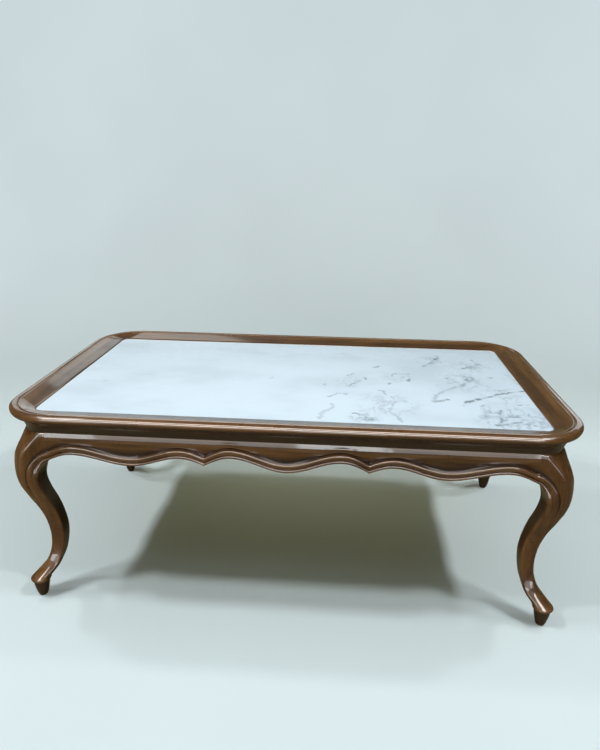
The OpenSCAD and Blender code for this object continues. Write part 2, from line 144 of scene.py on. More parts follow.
def smooth_line(z: np.ndarray, knots: np.ndarray) -> np.ndarray:
    """Value at z of the cubic line through the knots, with the mean slope of the spans beside each knot.

    Args:
        z: Places to read the line at.
        knots: Rows of (place, value), in rising order of place.

    Returns:
        The values, in the shape of z.
    """
    x, y = knots[:, 0], knots[:, 1]
    ends = np.diff(y) / np.diff(x)
    slope = np.concatenate([ends[:1], (y[2:] - y[:-2]) / (x[2:] - x[:-2]), ends[-1:]])
    i = np.clip(np.searchsorted(x, z, side="right") - 1, 0, len(x) - 2)
    w = x[i + 1] - x[i]
    t = np.clip((z - x[i]) / w, 0.0, 1.0)
    return (
        (2 * t**3 - 3 * t**2 + 1) * y[i]
        + (t**3 - 2 * t**2 + t) * w * slope[i]
        + (3 * t**2 - 2 * t**3) * y[i + 1]
        + (t**3 - t**2) * w * slope[i + 1]
    )


def thread(knots: np.ndarray, steps: int) -> np.ndarray:
    """Smooth curve through knots that lie along the first axis: a cubic per span, whose slope at a knot is
    half the way between its neighbours and at an end the way to the next knot.

    Args:
        knots: Points, or whole rows of points, along the first axis.
        steps: Samples for each span.

    Returns:
        The samples along the first axis, both ends included.
    """
    spans = len(knots) - 1
    slope = np.gradient(knots, axis=0)
    u = np.linspace(0.0, spans, spans * steps + 1)
    i = np.clip(u.astype(int), 0, spans - 1)
    t = (u - i).reshape((-1,) + (1,) * (knots.ndim - 1))
    return (
        (2 * t**3 - 3 * t**2 + 1) * knots[i]
        + (t**3 - 2 * t**2 + t) * slope[i]
        + (3 * t**2 - 2 * t**3) * knots[i + 1]
        + (t**3 - t**2) * slope[i + 1]
    )


def bend(a: tuple, b: tuple, c: tuple, steps: int) -> np.ndarray:
    """Quadratic curve that leaves a towards b and arrives at c from b."""
    t = np.linspace(0.0, 1.0, steps + 1)[:, None]
    return np.array(a) * (1 - t) ** 2 + np.array(b) * 2 * t * (1 - t) + np.array(c) * t**2


def joined(*parts: np.ndarray, axis: int = 0) -> np.ndarray:
    """Curves end to end, each end point that repeats the last one left out."""
    rest = [np.delete(p, 0, axis=axis) for p in parts[1:]]
    return np.concatenate([parts[0], *rest], axis=axis)


def hollowness(grid: np.ndarray, reach: int) -> np.ndarray:
    """How far each point lies under the mean of its neighbours along the section, in millimetres.

    The section is smoothed by passes of a quarter, a half, a quarter; the gap between the smoothed and the
    real point, read along the surface's normal, is positive in a hollow and negative on an arris.

    Args:
        grid: Points, rows by columns, closed along the columns.
        reach: Number of smoothing passes.

    Returns:
        The gaps, rows by columns.
    """
    soft = grid.copy()
    for _ in range(reach):
        soft = soft / 2 + (np.roll(soft, 1, axis=1) + np.roll(soft, -1, axis=1)) / 4
    along = np.gradient(grid, axis=0)
    across = np.roll(grid, -1, axis=1) - np.roll(grid, 1, axis=1)
    normal = np.cross(along, across)
    length = np.maximum(np.linalg.norm(normal, axis=-1), 1e-9)
    out = np.einsum("ijk,ijk->ij", grid - grid.mean(axis=1, keepdims=True), normal)
    sign = 1.0 if np.mean(out) > 0 else -1.0
    return sign * np.einsum("ijk,ijk->ij", soft - grid, normal) / length


class Skin:
    """A closed surface through a row of loops, from which one mesh is made."""

    def __init__(self, grid: np.ndarray, grain: np.ndarray, hollow: np.ndarray) -> None:
        """Keep the loops.

        Args:
            grid: Points in millimetres, rows by columns, each row a closed loop.
            grain: For each point its place in the board: along the grain, and twice across it.
            hollow: For each point its hollowness in millimetres, raised where the piece paints shade.
        """
        self.grid = grid
        self.grain = grain
        self.hollow = hollow
        self.extra = np.zeros((0, 3))
        self.end_faces: list[list[int]] = []

    def faces(self) -> list[list[int]]:
        """Quads between the rows, and a flat face on each end unless the far end has faces of its own."""
        rows, cols = self.grid.shape[:2]
        j, i = np.meshgrid(np.arange(rows - 1), np.arange(cols), indexing="ij")
        a, b = j * cols + i, j * cols + (i + 1) % cols
        quads = np.stack([a, b, b + cols, a + cols], axis=-1).reshape(-1, 4)
        below = (rows - 1) * cols
        far = self.end_faces or [list(range(cols))]
        return [*quads.tolist(), list(range(cols))[::-1], *[[below + k for k in f] for f in far]]

    def turns_in(self) -> bool:
        """True if the faces point inwards: the sum of the tetrahedra from the middle is negative."""
        p = self.grid - self.grid.mean(axis=(0, 1))
        nxt = np.roll(p, -1, axis=1)
        a, b, c, d = p[:-1], nxt[:-1], nxt[1:], p[1:]
        volume = np.einsum("ijk,ijk->", a, np.cross(b, c)) + np.einsum("ijk,ijk->", a, np.cross(c, d))
        return volume < 0

    def make(self, name: str, material: bpy.types.Material, sharp: float) -> bpy.types.Object:
        """Make the object in metres, with its grain and hollow attributes.

        Args:
            name: The object's name.
            material: Its finish.
            sharp: Angle in degrees from which an edge is drawn sharp.

        Returns:
            The new object, at the origin.
        """
        points = np.concatenate([self.grid.reshape(-1, 3), self.extra]) * MM
        faces = self.faces()
        if self.turns_in():
            faces = [f[::-1] for f in faces]
        mesh = bpy.data.meshes.new(name)
        mesh.from_pydata(points.tolist(), [], faces)
        mesh.polygons.foreach_set("use_smooth", np.ones(len(faces), dtype=bool))
        spare = len(self.extra)
        grain = np.concatenate([self.grain.reshape(-1, 3), np.repeat(self.grain[-1, :1], spare, axis=0)]) * MM
        mesh.attributes.new("grain", "FLOAT_VECTOR", "POINT").data.foreach_set("vector", grain.ravel())
        hollow = np.concatenate([self.hollow.ravel(), np.zeros(spare)])
        # Hollowness, with the painted shade that some pieces add.
        mesh.attributes.new("hollow", "FLOAT", "POINT").data.foreach_set("value", hollow)
        mesh.set_sharp_from_angle(angle=math.radians(sharp))
        mesh.materials.append(material)
        mesh.update()
        made = bpy.data.objects.new(name, mesh)
        bpy.context.scene.collection.objects.link(made)
        return made


def stand_for(piece: bpy.types.Object, node: str, body: str) -> bpy.types.Object:
    """Let a piece ride on its body in place of a solid, and log which solid it stands for."""
    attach(piece, body)
    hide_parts(node)
    LOG.info("%s stands for %s", piece.name, node)
    return piece


# Finishes.


class Graph:
    """A tree of shader nodes, added by short calls."""

    def __init__(self, tree: bpy.types.NodeTree) -> None:
        """Work on the tree given."""
        self.tree = tree

    def add(self, kind: str, **settings: object) -> bpy.types.Node:
        """Add one node and set its properties."""
        node = self.tree.nodes.new(kind)
        for key, value in settings.items():
            setattr(node, key, value)
        return node

    def feed(self, socket: bpy.types.NodeSocket, value: object) -> None:
        """Link a socket to another one, or give it a plain value."""
        if isinstance(value, bpy.types.NodeSocket):
            self.tree.links.new(value, socket)
        else:
            socket.default_value = value

    def math(self, operation: str, *values: object, clamp: bool = False) -> bpy.types.NodeSocket:
        """A Math node's result."""
        node = self.add("ShaderNodeMath", operation=operation, use_clamp=clamp)
        for k, value in enumerate(values):
            self.feed(node.inputs[k], value)
        return node.outputs[0]

    def vector(self, operation: str, *values: object, scale: object = None) -> bpy.types.Node:
        """A Vector Math node."""
        node = self.add("ShaderNodeVectorMath", operation=operation)
        for k, value in enumerate(values):
            self.feed(node.inputs[k], value)
        if scale is not None:
            self.feed(node.inputs["Scale"], scale)
        return node

    def attribute(self, name: str) -> bpy.types.Node:
        """An attribute of the mesh."""
        return self.add("ShaderNodeAttribute", attribute_name=name)

    def place(self) -> bpy.types.NodeSocket:
        """Object coordinates."""
        return self.add("ShaderNodeTexCoord").outputs["Object"]

    def mapped(self, vector: object, scale: tuple, turn: float = 0.0) -> bpy.types.NodeSocket:
        """Coordinates scaled on each axis and turned about z."""
        node = self.add("ShaderNodeMapping")
        self.feed(node.inputs["Vector"], vector)
        node.inputs["Scale"].default_value = scale
        node.inputs["Rotation"].default_value = (0, 0, math.radians(turn))
        return node.outputs[0]

    def noise(self, vector: object, scale: float, detail: float = 2.0, rough: float = 0.5) -> bpy.types.Node:
        """A Noise Texture node."""
        node = self.add("ShaderNodeTexNoise")
        self.feed(node.inputs["Vector"], vector)
        node.inputs["Scale"].default_value = scale
        node.inputs["Detail"].default_value = detail
        node.inputs["Roughness"].default_value = rough
        return node

    def coordinate(self, vector: object, axis: str) -> bpy.types.NodeSocket:
        """One coordinate of a vector."""
        node = self.add("ShaderNodeSeparateXYZ")
        self.feed(node.inputs[0], vector)
        return node.outputs[axis]

    def step(self, value: object, low: float, high: float, start: float = 0.0,
             end: float = 1.0) -> bpy.types.NodeSocket:
        """Value taken smoothly from start to end while it goes from low to high."""
        node = self.add("ShaderNodeMapRange", interpolation_type="SMOOTHSTEP")
        self.feed(node.inputs["Value"], value)
        for key, number in (("From Min", low), ("From Max", high), ("To Min", start), ("To Max", end)):
            node.inputs[key].default_value = number
        return node.outputs["Result"]

    def ramp(self, value: object, stops: list[tuple[float, tuple]]) -> bpy.types.NodeSocket:
        """Colour by value, through the stops given."""
        node = self.add("ShaderNodeValToRGB")
        self.feed(node.inputs[0], value)
        band = node.color_ramp
        while len(band.elements) < len(stops):
            band.elements.new(0.5)
        for element, (where, colour) in zip(band.elements, stops):
            element.position = where
            element.color = (*colour, 1.0)
        return node.outputs["Color"]

    def blend(self, factor: object, a: object, b: object) -> bpy.types.NodeSocket:
        """Two colours blended by a factor."""
        node = self.add("ShaderNodeMix", data_type="RGBA")
        self.feed(node.inputs["Factor"], factor)
        self.feed(node.inputs["A"], a if not isinstance(a, tuple) else (*a, 1.0))
        self.feed(node.inputs["B"], b if not isinstance(b, tuple) else (*b, 1.0))
        return node.outputs["Result"]


class Surface(Graph):
    """A material's nodes: a graph that ends in one shader."""

    def __init__(self, name: str) -> None:
        """Make an empty material with its shader joined to the output."""
        self.material = bpy.data.materials.new(name)
        self.material.use_nodes = True
        super().__init__(self.material.node_tree)
        self.tree.nodes.clear()
        self.shader = self.add("ShaderNodeBsdfPrincipled")
        output = self.add("ShaderNodeOutputMaterial")
        self.tree.links.new(self.shader.outputs["BSDF"], output.inputs["Surface"])

    def shade(self, name: str, value: object) -> None:
        """Feed one of the shader's sockets."""
        self.feed(self.shader.inputs[name], value)

    def bump(self, height: object, strength: float, distance: float) -> None:
        """Raise the surface by a height, through the shader's normal."""
        node = self.add("ShaderNodeBump")
        node.inputs["Strength"].default_value = strength
        node.inputs["Distance"].default_value = distance
        self.feed(node.inputs["Height"], height)
        self.tree.links.new(node.outputs["Normal"], self.shader.inputs["Normal"])

    def constants(self, **values: float) -> None:
        """Set numbers that are the same all over, on the shader's own sockets."""
        for key, value in values.items():
            self.shader.inputs[key.replace("_", " ")].default_value = value


@dataclass(frozen=True)
class LacqueredWalnut:
    """Brown-stained walnut under a gloss lacquer, darker in the hollows and a little paler on the arrises.

    A stretch is a noise's frequency along the grain and twice across it, per metre. Depths are in millimetres
    of the hollow attribute. The darker hollows are glaze and painted shade, and the paler arrises are
    wear and a painted highlight.
    """

    dark: tuple = (0.038, 0.015, 0.005)
    middle: tuple = (0.106, 0.047, 0.016)
    light: tuple = (0.200, 0.100, 0.038)
    # Glaze and painted shade: the dark colour of the hollows and of the places a piece paints in shade.
    glaze_and_shade_colour: tuple = (0.014, 0.006, 0.003)
    # Wear and painted highlight: the paler colour of the arrises.
    wear_and_highlight_colour: tuple = (0.270, 0.160, 0.090)
    streak_stretch: tuple = (2.2, 34.0, 34.0)
    figure_stretch: tuple = (9.0, 120.0, 120.0)
    fibre_stretch: tuple = (45.0, 1100.0, 1100.0)
    pore_share: float = 0.45
    glaze_and_shade_share: float = 0.86
    glaze_and_shade_depth: float = 0.40
    glaze_and_shade_waver: float = 0.3
    wear_and_highlight_depth: float = 0.30
    wear_and_highlight_share: tuple = (0.08, 0.38)
    roughness: tuple = (0.26, 0.40)
    glaze_and_shade_roughness: float = 0.15

    def make(self) -> bpy.types.Material:
        """Build the finish on the grain and hollow attributes.

        Returns:
            The material.
        """
        g = Surface("lacquered_walnut")
        grain = g.attribute("grain").outputs["Vector"]
        hollow = g.attribute("hollow").outputs["Fac"]
        streaks = g.noise(g.mapped(grain, self.streak_stretch), 1.0, 4.0, 0.55).outputs["Fac"]
        figure = g.noise(g.mapped(grain, self.figure_stretch), 1.0, 5.0, 0.6).outputs["Fac"]
        fibre = g.noise(g.mapped(grain, self.fibre_stretch), 1.0, 3.0, 0.6).outputs["Fac"]
        tone = g.math("MULTIPLY_ADD", figure, 0.55, g.math("MULTIPLY_ADD", streaks, 0.75, -0.15))
        colour = g.ramp(tone, [(0.25, self.dark), (0.50, self.middle), (0.78, self.light)])
        pores = g.step(fibre, 0.60, 0.74)
        colour = g.blend(g.math("MULTIPLY", pores, self.pore_share), colour, self.dark)
        cloud = g.noise(g.place(), 9.0, 2.0).outputs["Fac"]
        waver = g.math("MULTIPLY", g.math("SUBTRACT", cloud, 0.5), self.glaze_and_shade_waver)
        # Glaze and painted shade: darker towards the glaze colour in hollows and where a piece paints shade.
        glaze_and_shade = g.step(g.math("ADD", hollow, waver), 0.04, self.glaze_and_shade_depth)
        colour = g.blend(g.math("MULTIPLY", glaze_and_shade, self.glaze_and_shade_share), colour, self.glaze_and_shade_colour)
        # Wear and painted highlight: the arrises turn paler.
        wear_and_highlight = g.step(g.math("MULTIPLY", hollow, -1.0), 0.06, self.wear_and_highlight_depth)
        wear_and_highlight = g.math("MULTIPLY", wear_and_highlight, g.step(cloud, 0.35, 0.65, *self.wear_and_highlight_share))
        g.shade("Base Color", g.blend(wear_and_highlight, colour, self.wear_and_highlight_colour))
        rough = g.step(g.noise(g.place(), 26.0, 4.0, 0.6).outputs["Fac"], 0.3, 0.7, *self.roughness)
        g.shade("Roughness", g.math("MULTIPLY_ADD", glaze_and_shade, self.glaze_and_shade_roughness, rough))
        g.constants(Coat_Weight=1.0, Coat_Roughness=0.05, Coat_IOR=1.5, Specular_IOR_Level=0.25)
        ripple = g.noise(g.place(), 30.0, 2.0).outputs["Fac"]
        g.bump(g.math("ADD", ripple, g.math("MULTIPLY", fibre, 0.08)), 0.03, 0.0006)
        return g.material


@dataclass(frozen=True)
class BareWood:
    """Sawn pale wood on the hidden pieces, with the grain along one axis."""

    name: str
    stretch: tuple
    early: tuple = (0.52, 0.36, 0.20)
    late: tuple = (0.33, 0.20, 0.10)
    fineness: float = 9.0

    def make(self) -> bpy.types.Material:
        """Build the finish on Object coordinates.

        Returns:
            The material.
        """
        g = Surface(self.name)
        place = g.place()
        rings = g.noise(g.mapped(place, self.stretch), 1.0, 5.0, 0.6).outputs["Fac"]
        fine_stretch = tuple(self.fineness * s for s in self.stretch)
        fine = g.noise(g.mapped(place, fine_stretch), 1.0, 2.0).outputs["Fac"]
        colour = g.ramp(rings, [(0.30, self.late), (0.52, self.early), (0.75, self.late)])
        colour = g.blend(g.step(fine, 0.55, 0.75, 0.0, 0.4), colour, self.late)
        g.shade("Base Color", colour)
        g.shade("Roughness", g.step(fine, 0.3, 0.7, 0.62, 0.82))
        g.bump(fine, 0.3, 0.0005)
        return g.material


@dataclass(frozen=True)
class DullMetal:
    """Zinc or nickel plate with a brushed, slightly uneven face."""

    name: str
    colour: tuple
    roughness: tuple = (0.28, 0.53)
    spot_shade: float = 0.55

    def make(self) -> bpy.types.Material:
        """Build the finish on Object coordinates.

        Returns:
            The material.
        """
        g = Surface(self.name)
        spots = g.noise(g.place(), 420.0, 4.0, 0.65).outputs["Fac"]
        dark = tuple(c * self.spot_shade for c in self.colour)
        g.shade("Base Color", g.blend(g.step(spots, 0.45, 0.7), self.colour, dark))
        g.shade("Roughness", g.step(spots, 0.3, 0.7, *self.roughness))
        g.constants(Metallic=1.0)
        g.bump(spots, 0.2, 0.0002)
        return g.material


@dataclass(frozen=True)
class Vein:
    """One vein drawn on the slab: its points in plan, its width and its strength, in millimetres."""

    points: tuple
    width: float = 3.0
    strength: float = 0.6


@dataclass(frozen=True)
class VeinedMarble:
    """Polished white marble, faintly clouded and greyer towards the right, with blue-grey veins that gather
    there.
    """

    white: tuple = (0.70, 0.80, 0.89)
    cloud: tuple = (0.56, 0.65, 0.73)
    vein: tuple = (0.135, 0.180, 0.225)
    veins: tuple = (
        Vein(((332, 188), (328, 160)), 4, 0.5),
        Vein(((328, 166), (312, 132)), 7, 0.8),
        Vein(((312, 132), (290, 100)), 3.5, 0.6),
        Vein(((418, 164), (420, 128)), 4, 0.5),
        Vein(((424, 134), (398, 108)), 7, 0.6),
        Vein(((412, 106), (380, 96)), 6, 0.75),
        Vein(((184, 90), (174, 78)), 6, 0.75),
        Vein(((124, 34), (110, 16)), 3, 0.5),
        Vein(((148, 8), (152, -4)), 4.5, 0.8),
        Vein(((140, -16), (112, -56)), 3, 0.6),
        Vein(((208, 16), (216, 36), (252, 40)), 3.5, 0.45),
        Vein(((248, 6), (244, -8)), 5, 0.7),
        Vein(((206, -26), (202, -30)), 5.5, 0.7),
        Vein(((434, 36), (430, 32)), 6, 0.6),
        Vein(((372, 40), (392, 24), (372, -4), (356, -32)), 6, 0.55),
        Vein(((356, -32), (320, -56), (296, -88), (284, -128)), 6, 0.4),
        Vein(((378, 20), (374, 10)), 6, 0.75),
        Vein(((334, 22), (328, 18)), 4.5, 0.6),
        Vein(((476, 56), (481, 0)), 7, 0.3),
        Vein(((486, -46), (440, -64), (416, -76)), 5.5, 0.85),
        Vein(((416, -76), (404, -88), (372, -108)), 4.5, 0.8),
        Vein(((382, -104), (350, -126)), 8, 0.95),
        Vein(((350, -126), (340, -148)), 4, 0.5),
        Vein(((476, -126), (448, -130)), 3.5, 0.65),
        Vein(((384, -140), (380, -144)), 5, 0.6),
        Vein(((312, -112), (288, -124)), 5.5, 0.75),
        Vein(((176, -72), (188, -76), (192, -96)), 4, 0.5),
        Vein(((200, -104), (204, -136), (196, -192), (212, -240)), 4, 0.4),
        Vein(((66, -46), (62, -50)), 4.5, 0.5),
        Vein(((108, -100), (88, -96), (76, -120)), 4, 0.7),
        Vein(((80, -160), (84, -176), (64, -200), (60, -236)), 5, 0.35),
        Vein(((124, -204), (148, -212)), 6, 0.65),
        Vein(((148, -200), (144, -236)), 4, 0.6),
        Vein(((132, -224), (164, -220)), 3.5, 0.6),
        Vein(((408, -164), (396, -216)), 6, 0.7),
        Vein(((372, -192), (440, -192)), 5, 0.65),
        Vein(((388, -232), (432, -216)), 6.5, 0.75),
        Vein(((440, -204), (476, -208)), 3.5, 0.5),
        Vein(((392, -236), (396, -248)), 4, 0.5),
        Vein(((456, -232), (472, -236)), 5, 0.6),
        Vein(((-410, -72), (-414, -80)), 4, 0.3),
        Vein(((-324, -22), (-346, -28)), 4, 0.22),
        Vein(((-56, -12), (-60, -22)), 5, 0.25),
        Vein(((104, 188), (80, 172)), 4, 0.25),
    )
    group: int = 6
    regroup: float = 1e-7
    fade: float = 1.2
    slow_sway: tuple = (0.020, 18.0)
    quick_sway: tuple = (0.130, 14.0)
    web_stretch: tuple = (0.022, 0.014, 1.0)
    web_turn: float = -38.0
    line_half: float = 0.045
    haze_half: float = 0.13
    cloud_stretch: tuple = (0.005, 0.008, 1.0)
    cloud_turn: float = -30.0
    cloud_share: float = 0.55
    greying_rise: tuple = (-100.0, 520.0)
    cluster_fade: tuple = (0.3, 1.3)
    clusters: tuple = (
        ((425, -205), 75, 0.75),
        ((146, -217), 32, 0.9),
        ((365, 0), 70, 0.40),
        ((430, -75), 55, 0.45),
        ((400, 115), 50, 0.40),
        ((225, 15), 40, 0.30),
        ((120, -25), 45, 0.25),
        ((195, -150), 70, 0.35),
        ((320, 145), 45, 0.45),
    )

    def make(self) -> bpy.types.Material:
        """Build the finish on Object coordinates: drawn veins bent by noise, and a fine web in the clusters.

        Returns:
            The material.
        """
        g = Surface("veined_marble")
        place = g.place()
        flat = g.mapped(place, (1000.0, 1000.0, 0.0))
        sway = self.sway(g, flat, *self.slow_sway)
        ragged = self.sway(g, flat, *self.quick_sway)
        bent = g.vector("ADD", flat, g.vector("ADD", sway, ragged).outputs[0]).outputs[0]
        broken = g.step(g.noise(flat, 0.045, 3.0, 0.6).outputs["Fac"], 0.36, 0.54, 0.35, 1.0)
        drawn = g.math("MULTIPLY", self.drawn(g, bent), broken)
        density = self.gathered(g, flat)
        web = g.noise(g.mapped(bent, self.web_stretch, self.web_turn), 1.0, 4.0, 0.6).outputs["Fac"]
        ridge = g.math("ABSOLUTE", g.math("SUBTRACT", web, 0.5))
        lines = g.step(ridge, 0.0, self.line_half, 1.0, 0.0)
        haze = g.step(ridge, 0.0, self.haze_half, 1.0, 0.0)
        fine = g.math("MULTIPLY", g.math("MULTIPLY", lines, broken), density)
        marks = g.math("MAXIMUM", drawn, g.math("MULTIPLY", fine, 0.75), clamp=True)
        drift = g.noise(g.mapped(flat, self.cloud_stretch, self.cloud_turn), 1.0, 5.0).outputs["Fac"]
        # Greyer towards the right-hand side, up to the cloud share.
        to_right = g.step(g.coordinate(flat, "X"), *self.greying_rise, 0.0, self.cloud_share)
        clouding_and_greying = g.math("ADD", g.step(drift, 0.42, 0.70, 0.0, self.cloud_share), to_right, clamp=True)
        base = g.blend(clouding_and_greying, self.white, self.cloud)
        base = g.blend(g.math("MULTIPLY", g.math("MULTIPLY", haze, density), 0.90), base, self.cloud)
        g.shade("Base Color", g.blend(marks, base, self.vein))
        polish = g.noise(place, 60.0, 3.0).outputs["Fac"]
        g.shade("Roughness", g.step(polish, 0.3, 0.7, 0.16, 0.26))
        g.constants(IOR=1.5)
        g.bump(polish, 0.04, 0.0003)
        return g.material

    def sway(self, g: Graph, place: bpy.types.NodeSocket, scale: float, reach: float) -> bpy.types.NodeSocket:
        """A shift in plan from noise, of about a quarter of the reach to each side."""
        noise = g.noise(place, scale, 2.0).outputs["Color"]
        centred = g.vector("SUBTRACT", noise, (0.5, 0.5, 0.5)).outputs[0]
        return g.vector("MULTIPLY", centred, (reach, reach, 0.0)).outputs[0]

    def drawn(self, g: Graph, place: bpy.types.NodeSocket) -> bpy.types.NodeSocket:
        """Strength of the drawn veins: each fades out over its width from the line through its points.

        Every few spans the place is taken anew from the running total, less than a nanometre away, so that
        a renderer works the spans out one group after another and holds few values at once.

        Args:
            g: The graph.
            place: Plan coordinates in millimetres, already bent by noise.

        Returns:
            The strongest vein's value.
        """
        total = None
        spans = [(vein, a, b) for vein in self.veins for a, b in zip(vein.points, vein.points[1:])]
        for k, (vein, start, end) in enumerate(spans):
            if k % self.group == self.group - 1:
                place = g.vector("MULTIPLY_ADD", total, (self.regroup, self.regroup, 0.0), place).outputs[0]
            run = (end[0] - start[0], end[1] - start[1], 0.0)
            off = g.vector("SUBTRACT", place, (*start, 0.0)).outputs[0]
            dot = g.vector("DOT_PRODUCT", off, run).outputs["Value"]
            part = g.math("DIVIDE", dot, run[0] ** 2 + run[1] ** 2, clamp=True)
            near = g.vector("SCALE", run, scale=part).outputs[0]
            gap = g.vector("DISTANCE", off, near).outputs["Value"]
            value = g.step(gap, 0.0, vein.width * self.fade, vein.strength, 0.0)
            total = value if total is None else g.math("MAXIMUM", total, value)
        return total

    def gathered(self, g: Graph, place: bpy.types.NodeSocket) -> bpy.types.NodeSocket:
        """Density of the fine web: each cluster fades out over its radius.

        Args:
            g: The graph.
            place: Plan coordinates in millimetres.

        Returns:
            The strongest cluster's value.
        """
        total = None
        full, gone = self.cluster_fade
        for centre, radius, strength in self.clusters:
            gap = g.vector("DISTANCE", place, (*centre, 0.0)).outputs["Value"]
            value = g.step(gap, radius * full, radius * gone, strength, 0.0)
            total = value if total is None else g.math("MAXIMUM", total, value)
        return total


# Pieces.


@dataclass(frozen=True)
class MouldedRim:
    """The four mitred rails of the dished top."""

    sizes: TableSizes
    crest_drop: float = 8.0
    roll_in: float = 4.0
    roll_drop: float = 15.0
    ridge_gap: float = 5.7
    field_gap: float = 4.0
    field_drop: float = 9.4
    lip_gap: float = 0.6
    ledge_r: float = 3.0
    cove_pull: tuple = (8.0, 22.0)
    lip_pull: tuple = (1.3, 10.1)
    slope_pull: tuple = (17.2, 5.2)
    bead: tuple = ((2.0, 1.5), (0.3, 0.9), (-1.2, 1.1), (-2.5, 2.8))
    bead_back: tuple = ((-2.5, 2.8), (-3.6, 1.4))
    # Painted shade in the cove, and a slight darkening on the inner slope.
    cove_painted_shade: float = 0.45
    cove_shade_run: float = 6.0
    slope_darkening: float = 0.20
    softening: int = 60
    board_gap: float = 150.0
    mitre_steps: int = 26
    straight_steps: int = 10

    def section(self) -> np.ndarray:
        """The rail's outline: rows of inset, drop and corner radius, from the crest out, down and back.

        The crest and the roll under it are quarter ellipses, the cove, the lip and the slope are quadratic
        curves pulled towards one point each, and the bead is a smooth line through its knots on the ridge.

        Returns:
            The outline, closed, without a repeated point.
        """
        s = self.sizes
        ridge = s.crest_in + self.ridge_gap
        field = s.opening_in - self.field_gap
        lip = s.slab_drop + self.lip_gap
        ledge = s.opening_in + s.ledge_w
        turn = np.radians(np.linspace(0.0, 90.0, 19))
        outer = np.stack([s.crest_in * (1 - np.sin(turn)), self.crest_drop * (1 - np.cos(turn))], axis=1)
        under = np.stack([self.roll_in * (1 - np.cos(turn)),
                          self.crest_drop + (self.roll_drop - self.crest_drop) * np.sin(turn)], axis=1)
        pull = (s.neck_in - self.cove_pull[0], self.cove_pull[1])
        cove = bend((self.roll_in, self.roll_drop), pull, (s.neck_in, s.rail_h), 30)
        below = np.stack([np.linspace(s.neck_in, ledge, 5), np.full(5, s.rail_h)], axis=1)
        rebate = np.array([[ledge, s.rail_h], [ledge, s.slab_drop + s.slab_t],
                           [s.opening_in, s.slab_drop + s.slab_t], [s.opening_in, lip]])
        pull = (s.opening_in - self.lip_pull[0], self.lip_pull[1])
        roll = bend((s.opening_in, lip), pull, (field, self.field_drop), 14)
        past_ridge = np.array([ridge, 0.0])
        bead = np.array(self.bead) + past_ridge
        back = np.vstack([np.array(self.bead_back) + past_ridge, [s.crest_in, 0.0]])
        slope = bend((field, self.field_drop), np.array(self.slope_pull) + past_ridge, bead[0], 24)
        line = joined(outer, under, cove, below, rebate, roll, slope, thread(bead, 5), thread(back, 6))[:-1]
        inset = line[:, 0]
        radius = s.corner_r - inset
        first_cove = len(outer) + len(under) - 2
        last_cove = first_cove + len(cove) + len(below) - 2
        k = np.arange(len(line))
        on_cove = (k > first_cove) & (k < last_cove)
        cove_r = mix(s.corner_r - self.roll_in, s.neck_r, (inset - self.roll_in) / (s.neck_in - self.roll_in))
        radius = np.where(on_cove, np.maximum(cove_r, self.ledge_r), radius)
        on_ledge = (k >= last_cove) & (k <= last_cove + 1)
        radius = np.where(on_ledge, self.ledge_r, radius)
        ridge_r = s.corner_r - ridge
        field_r = mix(ridge_r, s.opening_r, (inset - ridge) / (s.opening_in - ridge))
        on_field = (k > last_cove + 1) & (inset > ridge + 0.3)
        radius = np.where(on_field, field_r, radius)
        return np.column_stack([line, radius])

    def hollow(self, grid: np.ndarray, inset: np.ndarray, drop: np.ndarray) -> np.ndarray:
        """Hollowness plus painted shade deep in the cove, a slight darkening low on the slope, and no paler
        wear and painted highlight on the crest.

        Args:
            grid: The rail's points, rows by columns.
            inset: Each column's inset.
            drop: Each column's drop.

        Returns:
            The values, rows by columns.
        """
        s = self.sizes
        # Painted shade in the cove, which faces down, and a slight darkening low on the inner slope.
        cove = self.cove_painted_shade * ease((drop - self.crest_drop) / self.cove_shade_run)
        slope = np.where(drop < s.slab_drop, self.slope_darkening, 0.0)
        darkening = np.where(inset <= s.neck_in, cove, slope)
        # The crest is kept from the paler wear and painted highlight.
        crest = (inset < s.crest_in - 1.0) & (drop < self.roll_drop)
        least = np.where(darkening > 0.0, darkening, np.where(crest, 0.0, -1.0))
        return np.maximum(hollowness(grid, self.softening), least)

    def rail(self, side: Side, material: bpy.types.Material) -> bpy.types.Object:
        """One rail: the section carried from mitre to mitre, turning on each point's own corner radius.

        Args:
            side: Which rail.
            material: Its finish.

        Returns:
            The rail.
        """
        s = self.sizes
        length, width = (s.table_l, s.table_w) if side.long else (s.table_w, s.table_l)
        inset, drop, radius = self.section().T
        left = np.radians(np.linspace(-45.0, 0.0, self.mitre_steps + 1))[:, None]
        turn = np.concatenate([left, np.zeros((self.straight_steps - 1, 1)), -left[::-1]])
        way = np.concatenate([np.zeros(len(left)), np.arange(1, self.straight_steps) / self.straight_steps,
                              np.ones(len(left))])[:, None]
        reach = length / 2 - inset - radius
        x = mix(-reach, reach, way) + radius * np.sin(turn)
        y = -width / 2 + inset + radius - radius * np.cos(turn)
        z = np.broadcast_to(s.table_h - drop, x.shape)
        grid = np.stack([x, y, z], axis=-1)
        grain = np.stack([x, y + width / 2 + self.board_gap * list(Side).index(side), z], axis=-1)
        grid = side.place(grid)
        skin = Skin(grid, grain, self.hollow(grid, inset, drop))
        return skin.make(f"moulded_rail_{side.name.lower()}", material, sharp=34.0)

    def build(self, material: bpy.types.Material) -> None:
        """Make all four rails in place of the solids."""
        for side in Side:
            name = side.name.lower()
            stand_for(self.rail(side, material), f"top_rail_{name}", "frame")


